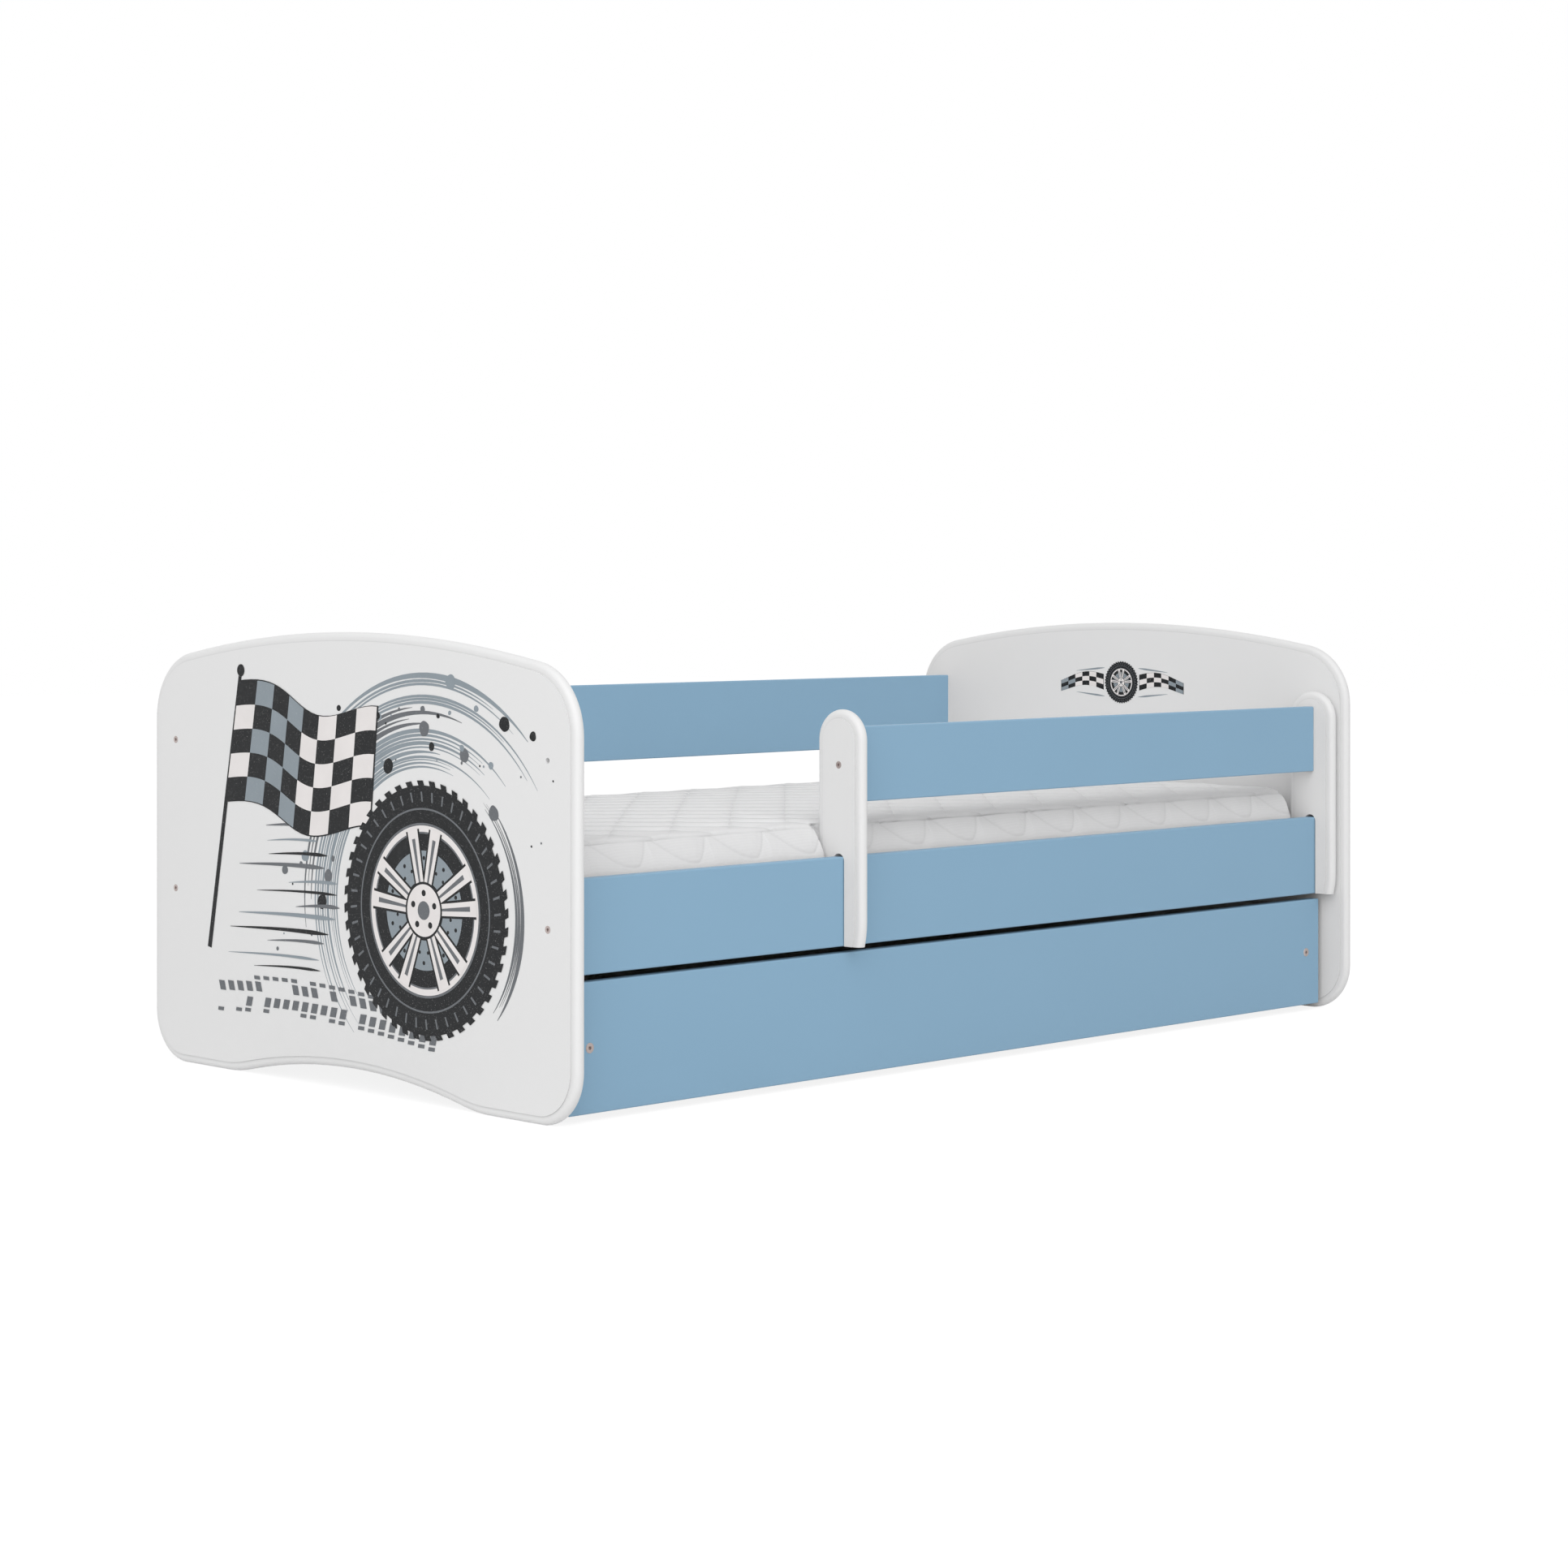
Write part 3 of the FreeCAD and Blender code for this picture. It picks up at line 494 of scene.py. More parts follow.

# %% [markdown]
# Some of the finishes need one thing more. The routed step of the white boards gets a painted shade:
# its colour is a little darker where the board's own corner is close, which the Ambient Occlusion node
# measures. And a blue board throws blue light on the white one beside it, which a photographer
# takes out with a card. Here the Light Path node does it: a ray that only gathers light from a blue
# board meets a grey about as light. In the same way the pale boards inside the drawer and the
# slats above it give back little light, so the gap over the drawer front stays as dark as it looks.

# %% Painted shade in corners and neutral bounce
step_reach, step_shade = 0.004, 0.34
blue_bounce = (0.42, 0.42, 0.43, 1)
inside_bounce = (0.10, 0.10, 0.10, 1)


def colour_link(material):
    """A material's tree, its shader and the socket that feeds the shader's colour."""
    tree = material.node_tree
    shader = tree.nodes["Principled BSDF"]
    return tree, shader, shader.inputs["Base Color"].links[0].from_socket


def shade_corners(material):
    """Paints shade into a colour in the hollow corners of the piece itself."""
    tree, shader, colour = colour_link(material)
    corner = place_node(
        tree, "ShaderNodeAmbientOcclusion", samples=12, only_local=True, Distance=step_reach
    )
    corner_painted_shade = math_node(tree, "SUBTRACT", 1, corner.outputs["AO"])
    corner_painted_shade = math_node(tree, "MULTIPLY", corner_painted_shade, step_shade)
    open_share = math_node(tree, "SUBTRACT", 1, corner_painted_shade)
    tree.links.new(shade(tree, colour, open_share), shader.inputs["Base Color"])


def grey_bounce(material, bounce):
    """Lets a colour give light to its neighbours as if it were another one."""
    tree, shader, colour = colour_link(material)
    gathers = place_node(tree, "ShaderNodeLightPath").outputs["Is Diffuse Ray"]
    mix = place_node(tree, "ShaderNodeMix", data_type="RGBA", B=bounce)
    tree.links.new(gathers, mix.inputs["Factor"])
    tree.links.new(colour, mix.inputs["A"])
    tree.links.new(mix.outputs["Result"], shader.inputs["Base Color"])


shade_corners(finishes["white_board"])
grey_bounce(finishes["blue_board"], blue_bounce)
for material in (finishes["drawer_board"], finishes["slat_wood"], pine_along):
    grey_bounce(material, inside_bounce)
print("corners shaded within", 1000 * step_reach, "mm")

# %% [markdown]
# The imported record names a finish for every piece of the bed, so one loop dresses them all. Battens and
# dowels are the exception: they take the pine whose rings run along the bed.

# %% Give every node its finish
for row in frame["record"]["subparts"]:
    node = nodes[row["node"]]
    runs_along = row["node"].endswith(("batten", "dowels"))
    chosen = pine_along if runs_along else finishes[row["material_slot"]]
    for material_slot in node.material_slots:
        material_slot.material = chosen

# %% [markdown]
# The mattress is foam in a quilted cover. On the real one a needle draws the padded cloth down along
# crossing diagonals, and the padding swells between them. A displacement alone could imitate that,
# but a cloth simulation also gives the small puckers beside each stitch. So the stitch points are
# pinned, the cloth gets a little spare length, and air pressure does the swelling.

# %% Helpers for points and normals
def link_piece(name, mesh):
    """A new object of the scene that shows a mesh."""
    piece = bpy.data.objects.new(name, mesh)
    scene.collection.objects.link(piece)
    return piece


def read_points(mesh, of="co"):
    """The points of a mesh, or its normals, as rows of x, y and z."""
    values = np.zeros(len(mesh.vertices) * 3, np.float32)
    if of == "co":
        mesh.vertices.foreach_get("co", values)
    else:
        mesh.vertex_normals.foreach_get("vector", values)
    return values.reshape(-1, 3).astype(float)


def write_points(mesh, points):
    """Sets the points of a mesh."""
    mesh.vertices.foreach_set("co", points.astype(np.float32).ravel())
    mesh.update()


def frozen(piece):
    """The piece's mesh with its modifiers applied, which are then removed."""
    graph = bpy.context.evaluated_depsgraph_get()
    mesh = bpy.data.meshes.new_from_object(piece.evaluated_get(graph))
    piece.modifiers.clear()
    piece.data = mesh
    return mesh


def relaxed(piece, rounds):
    """Lets sharp corners of the cloth slacken."""
    relax = piece.modifiers.new("relax", "SMOOTH")
    relax.factor = 0.5
    relax.iterations = rounds
    return frozen(piece)


print("helpers:", link_piece.__name__, read_points.__name__, write_points.__name__, relaxed.__name__)

# %% [markdown]
# The cover starts as a copy of the mattress block. A voxel remesh turns it into even cells, so that
# cloth can bend anywhere, and smoothing takes off the hard corners. The upper part of the sides leans
# in a little, as foam does under a tight cover.

# %% Cut the cover from the mattress block
cover_cell = 0.006
first_relax, later_relax = 10, 8
cover_ease = 0.002
shoulder_lean = 0.018
end_lean_share = 0.45
mattress_low, mattress_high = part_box("mattress")
rail_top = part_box("front_rail")[1].z

cover = link_piece("mattress_cover", nodes["mattress"].data.copy())
remesh = cover.modifiers.new("cells", "REMESH")
remesh.mode = "VOXEL"
remesh.voxel_size = cover_cell
frozen(cover)
cut = relaxed(cover, first_relax)
points = read_points(cut)
facing = read_points(cut, "normal")
rise = np.clip((points[:, 2] - rail_top) / (mattress_high.z - rail_top), 0, 1)
points[:, 0] -= facing[:, 0] * end_lean_share * shoulder_lean * rise
points[:, 1] -= facing[:, 1] * (cover_ease + shoulder_lean * rise)
write_points(cut, points)
cut = relaxed(cover, later_relax)
sewn = read_points(cut)
facing = read_points(cut, "normal")
print("cover points:", len(sewn))

# %% [markdown]
# The stitches follow two rules. On the top they are straight diagonals, one pitch apart along the bed.
# On the sides the same thread runs as a lopsided zigzag under the edge: a slow fall, a rounded turn
# and a quick rise. Both are distances that numpy can work out for all points at once.

# %% Stitch lines of the cover
quilt_pitch = 0.108
set_leans = (1, -1)
zigzag_low, zigzag_high = 0.311, 0.347
zigzag_start = 0.025
zigzag_fall, zigzag_belly = 0.715, 1.3
slope_step = 0.0005


def quilt_distances(points):
    """How far points of the top lie from the nearest stitch line, for each of the two sets."""
    gaps = []
    for lean in set_leans:
        turns = (points[:, 0] + lean * points[:, 1]) / quilt_pitch
        gaps.append(np.abs(turns - np.round(turns)) * quilt_pitch / math.sqrt(2))
    return gaps


def zigzag_height(along):
    """Height of the stitch on the sides: a slow fall, a rounded turn and a quick rise."""
    phase = ((along - zigzag_start) / quilt_pitch) % 1.0
    falling = np.sin(np.clip(phase / zigzag_fall, 0, 1) * math.pi / 2) ** zigzag_belly
    rising = 1 - np.cos(np.clip((phase - zigzag_fall) / (1 - zigzag_fall), 0, 1) * math.pi / 2)
    return zigzag_high - (zigzag_high - zigzag_low) * (falling - rising)


def zigzag_distance(points, facing):
    """How far a point of a side lies from its stitch, square to the line."""
    long_side = np.abs(facing[:, 1]) > np.abs(facing[:, 0])
    along = np.where(long_side, points[:, 0], points[:, 1])
    change = zigzag_height(along + slope_step) - zigzag_height(along - slope_step)
    slope = change / (2 * slope_step)
    return np.abs(points[:, 2] - zigzag_height(along)) / np.sqrt(1 + slope ** 2)


print("zigzag from", zigzag_low, "to", zigzag_high, "m, pitch", quilt_pitch, "m")

# %% [markdown]
# Now the needle goes in: every point of the top that lies on a stitch line is pinned, and so is all
# that doesn't face up, because sides and underside are held by the foam. The diamonds of the top stay
# free to move.

# %% Pin the stitches
stitch_reach = 0.0022
top_facing = 0.75
on_top = facing[:, 2] > top_facing
stitched = on_top & (np.minimum(*quilt_distances(sewn)) < stitch_reach)
pins = cover.vertex_groups.new(name="pins")
pins.add(np.flatnonzero(stitched | ~on_top).tolist(), 1.0, "REPLACE")
print("stitch points:", int(stitched.sum()))

# %% [markdown]
# A few frames of cloth simulation, with pressure and without gravity, blow the diamonds up. Such a
# cover is firm, so only a share of that movement is kept, and a cap stops the ones that went far.

# %% Swell the padding
puff_pressure = 4.0
spare_cloth = 0.012
puff_frames = 6
most_puff = 0.006
puff_share = 0.25
least_length = 1e-9


def swell(piece, rest):
    """Air pressure on the cloth between its pins. Returns how far each point moved."""
    cloth = piece.modifiers.new("puff", "CLOTH")
    settings = cloth.settings
    settings.quality = 3
    settings.mass = 0.05
    settings.tension_stiffness = 5
    settings.compression_stiffness = 5
    settings.shear_stiffness = 2
    settings.bending_stiffness = 0.05
    settings.shrink_min = -spare_cloth
    settings.use_pressure = True
    settings.uniform_pressure_force = puff_pressure
    settings.effector_weights.gravity = 0
    settings.vertex_group_mass = "pins"
    cloth.collision_settings.use_self_collision = False
    for number in range(1, puff_frames + 1):
        scene.frame_set(number)
    moved = read_points(frozen(piece)) - rest
    scene.frame_set(1)
    return moved


moved = swell(cover, sewn)
length = np.linalg.norm(moved, axis=1)
moved *= (puff_share * np.minimum(length, most_puff) / np.maximum(length, least_length))[:, None]
write_points(cover.data, sewn + moved)
print("puff in mm:", (1000 * length[on_top].mean()).round(2), "at most", (1000 * length.max()).round(2))

# %% [markdown]
# The remesh leaves cells of 6 mm, too coarse for a row of stitches. The cells of the top are divided
# once more, those of the sides twice, and the flat underside, which nobody sees, keeps only its border.
# Each point remembers where it was before the swelling, and which way it faced.

# %% Divide the cells
side_low, side_high = 0.30, 0.72
down_facing = -0.9


def divide_cover(piece, rest, rest_facing):
    """Splits the cells of the top and, finer, of the sides, and carries the rest places along."""
    mesh = bmesh.new()
    mesh.from_mesh(piece.data)
    place = mesh.verts.layers.float_vector.new("sewn")
    turn = mesh.verts.layers.float_vector.new("facing")
    for vert, spot, way in zip(mesh.verts, rest, rest_facing):
        vert[place] = spot
        vert[turn] = way
    level = mattress_low.z + cover_cell
    under = [face for face in mesh.faces
             if face.calc_center_median().z < level and face.normal.z < down_facing]
    bmesh.ops.dissolve_faces(mesh, faces=under, use_verts=True)
    shown_from = side_low - 2 * cover_cell
    shown = [edge for edge in mesh.edges if min(vert.co.z for vert in edge.verts) > shown_from]
    bmesh.ops.subdivide_edges(mesh, edges=shown, cuts=1, use_grid_fill=True)
    sides = [edge for edge in mesh.edges if min(vert.co.z for vert in edge.verts) > side_low
             and max(vert[turn][2] for vert in edge.verts) < side_high]
    bmesh.ops.subdivide_edges(mesh, edges=sides, cuts=1, use_grid_fill=True)
    bmesh.ops.triangulate(mesh, faces=[face for face in mesh.faces if len(face.verts) > 4])
    places = np.array([vert[place] for vert in mesh.verts])
    ways = np.array([vert[turn] for vert in mesh.verts])
    mesh.to_mesh(piece.data)
    mesh.free()
    return places, ways


sewn, sewn_facing = divide_cover(cover, sewn, facing)
relaxed(cover, later_relax)
points = read_points(cover.data)
facing = read_points(cover.data, "normal")
print("divided cover points:", len(points), "faces:", len(cover.data.polygons))

# %% [markdown]
# With the old places at hand, the thread can be pressed in along its line. The top sinks towards both
# sets of stitches, less towards the second, where the padding bunches up. The sides swell away from the
# zigzag, and a seam runs where the top turns over into them. All of it is one height per point, along
# the point's own normal.

# %% Press in the thread
top_lift = 0.0016
pillow_rise, pillow_reach = 0.0012, 0.016
thread_depth, thread_width, side_thread_width = 0.0006, 0.0026, 0.0018
set_depths = (1.0, 0.6)
crossing_fill, crossing_reach = 0.0018, 0.014
side_puff, side_puff_reach = 0.0012, 0.012
seam_depth, seam_width = 0.0010, 0.10
under_facing = -0.5
is_top = sewn_facing[:, 2] > top_facing
is_side = (sewn_facing[:, 2] > under_facing) & ~is_top
side_gap = zigzag_distance(sewn, sewn_facing)
side_crease = np.where(is_side, np.exp(-((side_gap / side_thread_width) ** 2)), 0)
swollen = 1 - np.exp(-((side_gap / side_puff_reach) ** 2))
seam = np.exp(-(((sewn_facing[:, 2] - top_facing) / seam_width) ** 2))
flat = np.clip((sewn_facing[:, 2] - top_facing) / (1 - top_facing), 0, 1)

gaps = quilt_distances(sewn)
sunk = np.zeros(len(sewn))
for line_gap, depth in zip(gaps, set_depths):
    slope = np.sqrt(1 - (1 - np.minimum(line_gap / pillow_reach, 1)) ** 2)
    crease = np.exp(-((line_gap / thread_width) ** 2))
    sunk = np.maximum(sunk, depth * (pillow_rise * (1 - slope) + thread_depth * crease))
fill = crossing_fill * np.exp(-((gaps[1] / crossing_reach) ** 2))
top_height = (top_lift + fill) * flat + pillow_rise - sunk
side_height = np.where(sewn[:, 2] > side_low, side_puff * swollen, 0) - thread_depth * side_crease
height = np.where(is_top, top_height, np.where(is_side, side_height, 0)) - seam_depth * seam
points += facing * height[:, None]
write_points(cover.data, points)
print("height in mm: from", (1000 * height.min()).round(2), "to", (1000 * height.max()).round(2))

# %% [markdown]
# The material has to know two things that only the mesh knows: where the thread of the sides and the
# seam lie, which get a painted shade, and where the flat top is, fading out towards its edge, which gets
# the relief and a painted light. Both go into the mesh as attributes.
# seam lie, and where the flat top is, fading out towards its edge. Both go into the mesh as attributes.
# Then the cover rides on the mattress, and the plain block is hidden.

relief_start, relief_full = 0.016, 0.075
half_size = np.array((mattress_high - mattress_low)[:2]) / 2
middle = np.array((mattress_high + mattress_low)[:2]) / 2
from_edge = (half_size - np.abs(sewn[:, :2] - middle)).min(1)
fade = np.clip((from_edge - relief_start) / (relief_full - relief_start), 0, 1)
# Masks for the painted shade along the thread and the seam, and for the relief and painted light of the
# top.
marks = {"thread": np.maximum(side_crease, seam), "top": fade * np.minimum(2 * flat, 1)}
for label, values in marks.items():
    mark = cover.data.attributes.new(label, "FLOAT", "POINT")
    mark.data.foreach_set("value", values.astype(np.float32))
cover.data.polygons.foreach_set("use_smooth", np.ones(len(cover.data.polygons), bool))
cover.data.materials.clear()
cover.data.materials.append(finishes["mattress_cover"])
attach(cover, "mattress")
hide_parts("mattress")
print("cover marks:", sorted(marks))

# %% [markdown]
# From a low camera the swelling of each diamond shows mostly as light and shade, so the material adds a
# relief to the geometry. The stitch lines are straight, so every pixel of the top can work out its share
# of the way from a line to the middle. An arch over each share, and the two arches multiplied, make a
# dome, and a bump node turns it into a normal. One set of lines is drawn deeper than the other.

# %% Relief of the diamonds
dome_height = 0.013
dome_power = 0.8
crossing_break, crossing_groove = 0.5, 0.06


def way_to_middle(tree, place, lean):
    """Zero on the stitch lines of one set, one halfway between two of them."""
    split = place_node(tree, "ShaderNodeSeparateXYZ")
    tree.links.new(place, split.inputs[0])
    leaning = math_node(tree, "MULTIPLY", split.outputs["Y"], lean)
    run = math_node(tree, "ADD", split.outputs["X"], leaning)
    turns = math_node(tree, "ADD", math_node(tree, "DIVIDE", run, quilt_pitch), 0.5)
    off = math_node(tree, "SUBTRACT", math_node(tree, "FRACT", turns, 0), 0.5)
    return math_node(tree, "MULTIPLY", math_node(tree, "ABSOLUTE", off, 0), 2)


def arch(tree, share):
    """A quarter of a sine wave: steep at a stitch line and level at the middle."""
    return math_node(tree, "SINE", math_node(tree, "MULTIPLY", share, math.pi / 2), 0)


def mark_value(tree, label):
    """A mark of the mesh, as a value in its material."""
    return place_node(tree, "ShaderNodeAttribute", attribute_name=label).outputs["Fac"]


cover_tree, cover_shader, knit_colour = colour_link(finishes["mattress_cover"])
cover_place = place_node(cover_tree, "ShaderNodeTexCoord").outputs["Object"]
ways = [way_to_middle(cover_tree, cover_place, lean) for lean in set_leans]
across, along = [math_node(cover_tree, "POWER", arch(cover_tree, way), dome_power) for way in ways]
broken = math_node(cover_tree, "MULTIPLY", along, crossing_break)
broken = math_node(cover_tree, "ADD", broken, 1 - crossing_break)
dome = math_node(cover_tree, "ADD", math_node(cover_tree, "MULTIPLY", across, broken),
                 math_node(cover_tree, "MULTIPLY", along, crossing_groove))
on_top_here = mark_value(cover_tree, "top")
valley = math_node(cover_tree, "SUBTRACT", 1, dome)
valley = math_node(cover_tree, "MULTIPLY", valley, on_top_here)
relief = place_node(cover_tree, "ShaderNodeBump", Distance=dome_height)
cover_tree.links.new(math_node(cover_tree, "SUBTRACT", 1, valley), relief.inputs["Height"])
knit_bump = cover_shader.inputs["Normal"].links[0].from_node
cover_tree.links.new(relief.outputs["Normal"], knit_bump.inputs["Normal"])
print("dome relief:", 1000 * dome_height, "mm")

# %% [markdown]
# Little light reaches the thread in its fold, so a painted shade darkens the cloth along it. The top
# of the cover faces the light, so its colour gets a painted light and the sides a painted shade.
# Both are factors on the knit's colour.

# %% Painted shade along the thread and painted light on the top
line_shades = (0.03, 0.004)
side_shade = 0.06
top_line_share = 0.08
top_painted_light, side_painted_shade = 1.05, 0.935

top_thread_shade = []
for way, line_shade in zip(ways, line_shades):
    near = math_node(cover_tree, "LESS_THAN", way, top_line_share)
    top_thread_shade.append(math_node(cover_tree, "MULTIPLY", near, line_shade))
top_thread_shade = math_node(cover_tree, "MULTIPLY", math_node(cover_tree, "MAXIMUM", *top_thread_shade), on_top_here)
side_thread_shade = math_node(cover_tree, "MULTIPLY", mark_value(cover_tree, "thread"), side_shade)
lines = math_node(cover_tree, "MAXIMUM", top_thread_shade, side_thread_shade)
# Painted light on the top, painted shade on the sides and painted shade along the thread.
tone = math_node(cover_tree, "MULTIPLY", on_top_here, top_painted_light - side_painted_shade)
tone = math_node(cover_tree, "SUBTRACT", math_node(cover_tree, "ADD", tone, side_painted_shade), lines)
cover_tree.links.new(shade(cover_tree, knit_colour, tone), cover_shader.inputs["Base Color"])
print("thread shades:", line_shades, side_shade)

# %% [markdown]
# The two screws in the drawer front have broader heads than the rest: a flat collar, about 13 mm
# across, lies on the board and leaves the socket open. A collar is a turned part, so a short profile
# is spun once around the axis of its screw. Its corners are a radius and a height, in metres.

# %% Collars of the drawer screws
collar_profile = [
    (0.0026, 0.0), (0.0026, 0.0005), (0.0030, 0.0007), (0.0056, 0.0007), (0.0064, 0.00045), (0.0067, 0.0),
]
collar_steps = 48


def turned_collar(mesh, centre):
    """Spins the profile around an axis along Y and closes it to a ring that faces -Y."""
    verts = [mesh.verts.new(centre + Vector((radius, -height, 0))) for radius, height in collar_profile]
    edges = [mesh.edges.new((verts[i - 1], verts[i])) for i in range(len(verts))]
    bmesh.ops.spin(
        mesh, geom=verts + edges, cent=centre, axis=(0, 1, 0), angle=math.tau,
        steps=collar_steps, use_merge=True,
    )


screws_low, screws_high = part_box("drawer_front_screws")
head_radius = (screws_high.z - screws_low.z) / 2
collar_mesh = bmesh.new()
for x in (screws_low.x + head_radius, screws_high.x - head_radius):
    turned_collar(collar_mesh, Vector((x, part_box("drawer_front")[0].y, screws_low.z + head_radius)))
bmesh.ops.recalc_face_normals(collar_mesh, faces=collar_mesh.faces)
collars = link_piece("drawer_screw_collars", bpy.data.meshes.new("drawer_screw_collars"))
collar_mesh.to_mesh(collars.data)
collar_mesh.free()
collars.data.materials.append(finishes["screw_steel"])
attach(collars, "drawer")
print("collars:", len(collars.data.polygons), "faces, head radius", round(1000 * head_radius, 2), "mm")

# %% [markdown]
# Both end boards are printed before they are assembled: a flat picture in four inks, dark, grey, blue
# grey and a warm white. It could be one picture mapped on the face, but shapes drawn as outlines stay
# sharp at any distance. So each motif is a set of closed curves in millimetres, counted to the right
# and upwards as one looks at the board, and Blender fills them as a flat curve does.

# %% Outlines for the print
stroke_tip, stroke_swell = 0.02, 0.6


def circle(centre, radius, count=96):
    """A circle as a closed outline."""
    turn = np.linspace(0, 2 * math.pi, count, endpoint=False)
    return np.array(centre) + radius * np.stack([np.cos(turn), np.sin(turn)], 1)


def stroke(path, widths):
    """The outline of a brush stroke along a path, with its width at each point."""
    path = np.asarray(path, float)
    along = np.gradient(path, axis=0)
    along /= np.linalg.norm(along, axis=1)[:, None]
    across = np.stack([-along[:, 1], along[:, 0]], 1) * (np.asarray(widths) / 2)[:, None]
    return np.concatenate([path + across, (path - across)[::-1]])


def arc_path(centre, radius, start, end, count):
    """Points along an arc between two angles in degrees."""
    turn = np.radians(np.linspace(start, end, count))
    return np.array(centre) + radius * np.stack([np.cos(turn), np.sin(turn)], 1)


def tapered(width, count, head=0.5):
    """Widths of a stroke that starts thin, is full at its head and ends thin again."""
    share = np.linspace(0, 1, count)
    return width * np.minimum(share / head, (1 - share) / (1 - head)).clip(stroke_tip, 1) ** stroke_swell


def turned(outline, centre, degrees):
    """An outline drawn about the origin, turned and set at a centre."""
    turn = math.radians(degrees)
    spin = np.array([[math.cos(turn), math.sin(turn)], [-math.sin(turn), math.cos(turn)]])
    return np.array(centre) + np.asarray(outline, float) @ spin


print("outlines:", circle.__name__, stroke.__name__, arc_path.__name__, turned.__name__)

# %% [markdown]
# The main motif is a wheel, built like a real one: a tyre with lugs, a rim, a drilled brake disc, five
# twin spokes and a hub with its bolts. The wheel is needed twice, large on the footboard and small on
# the headboard, so its parts are functions of a centre and a size.

# %% Motif: tyre, spokes and dots
lug_count = 44
lug_corners = ((0.0, 0), (0.12, 1), (0.62, 1), (0.50, 0))
spoke_pairs = 5
spoke_spread = 13.0


def tyre_outline(centre, radius, lug):
    """A ring of slanted lugs round the tyre."""
    step = 2 * math.pi / lug_count
    corners = []
    for index in range(lug_count):
        start = index * step
        for turn, raised in lug_corners:
            angle = start + turn * step
            reach = radius + raised * lug
            corners.append((math.cos(angle) * reach, math.sin(angle) * reach))
    return np.array(centre) + np.array(corners)


def spokes(ink, centre, inner, outer, foot, head):
    """Twin spokes that widen towards the rim: one layer for each of the two, as they overlap."""
    blade = [(inner, -foot), (outer, -head), (outer, head), (inner, foot)]
    layers = []
    for side in (-1, 1):
        turns = [90 + 360 * arm / spoke_pairs + side * spoke_spread for arm in range(spoke_pairs)]
        layers.append((ink, [turned(blade, centre, turn) for turn in turns]))
    return layers


def ring_of_dots(centre, radius, dot, count, first=0.0):
    """Evenly spaced dots on a circle."""
    turns = np.radians(first + 360 * np.arange(count) / count)
    places = np.array(centre) + radius * np.stack([np.cos(turns), np.sin(turns)], 1)
    return [circle(place, dot, count=20) for place in places]


print("lugs:", lug_count, "spokes:", 2 * spoke_pairs)


# %% [markdown]
# A printer lays the broad shapes down first and the small ones over them. The sizes of the wheel are
# hundredths of the tyre's radius, so the drawing reads like a sheet of proportions.

# %% Motif: a spoked wheel
def wheel_layers(centre, radius):
    """All layers of a wheel. Every size is in hundredths of the tyre's radius."""
    part = radius / 100
    sipes = []
    for index in range(lug_count):
        block = [(87 * part, -1.1 * part), (95 * part, -0.2 * part), (95 * part, 1.8 * part)]
        sipes.append(turned(block + [(87 * part, 0.7 * part)], centre, 360 * (index + 0.2) / lug_count))
    tyre = [
        ("dark", [tyre_outline(centre, radius, 4 * part)]),
        ("grey", sipes + [circle(centre, 82 * part), circle(centre, 80.5 * part)]),
        ("grey", [circle(centre, 70 * part)]),
        ("warm", [circle(centre, 68 * part), circle(centre, 63 * part)]),
        ("dark", [circle(centre, 61.5 * part)]),
        ("blue", [circle(centre, 48 * part), circle(centre, 24 * part)]),
        ("dark", ring_of_dots(centre, 42 * part, dot=1.7 * part, count=20) +
         ring_of_dots(centre, 34 * part, dot=1.5 * part, count=20, first=9.0)),
    ]
    arms = spokes("dark", centre, inner=14 * part, outer=65 * part, foot=6.2 * part, head=8.4 * part)
    arms += spokes("warm", centre, inner=14 * part, outer=66 * part, foot=4.4 * part, head=6.4 * part)
    arms += spokes("grey", centre, inner=22 * part, outer=58 * part, foot=1.0 * part, head=2.0 * part)
    hub = [
        ("dark", [circle(centre, 23 * part)]),
        ("warm", [circle(centre, 21 * part)]),
        ("dark", ring_of_dots(centre, 14 * part, dot=2.6 * part, count=spoke_pairs, first=90.0)),
        ("grey", [circle(centre, 7.5 * part)]),
    ]
    return tyre + arms + hub


print("wheel layers:", len(wheel_layers((0, 0), 100)))

# %% [markdown]
# The second motif is a chequered cloth in the wind. Each cell is a square that bends with the cloth: one
# function says where a place on the flat cloth lies on the board, and every cell goes through it. Pale
# cells on the falling side of a wave are blue grey, which reads as a fold.

# %% Motif: a chequered cloth
side_points = 4
border_growth = 1.018


def cloth_layers(place, columns, rows, falls, edge=24):
    """Layers of a chequered cloth. `place` bends flat places from 0 to 1 onto the board."""
    inks = {"dark": [], "warm": [], "blue": []}
    for column in range(columns):
        for row in range(rows):
            left, right = column / columns, (column + 1) / columns
            low, high = row / rows, (row + 1) / rows
            sides = np.linspace(0, 1, side_points + 1)[:-1]
            still = np.ones(side_points)
            across = np.concatenate([left + (right - left) * sides, right * still,
                                     right - (right - left) * sides, left * still])
            up = np.concatenate([low * still, low + (high - low) * sides,
                                 high * still, high - (high - low) * sides])
            pale = "blue" if falls((left + right) / 2) else "warm"
            ink = "dark" if (column + row) % 2 == 0 else pale
            inks[ink].append(place(across, up))
    run = np.linspace(0, 1, edge)
    start, end = np.zeros(edge), np.ones(edge)
    rim = [place(run, start), place(end, run), place(1 - run, end), place(start, 1 - run)]
    border = np.concatenate(rim)
    middle = border.mean(0)
    grown = middle + (border - middle) * border_growth
    return [("dark", [grown])] + [(ink, outlines) for ink, outlines in inks.items() if outlines]


print("cloth motif:", cloth_layers.__name__)

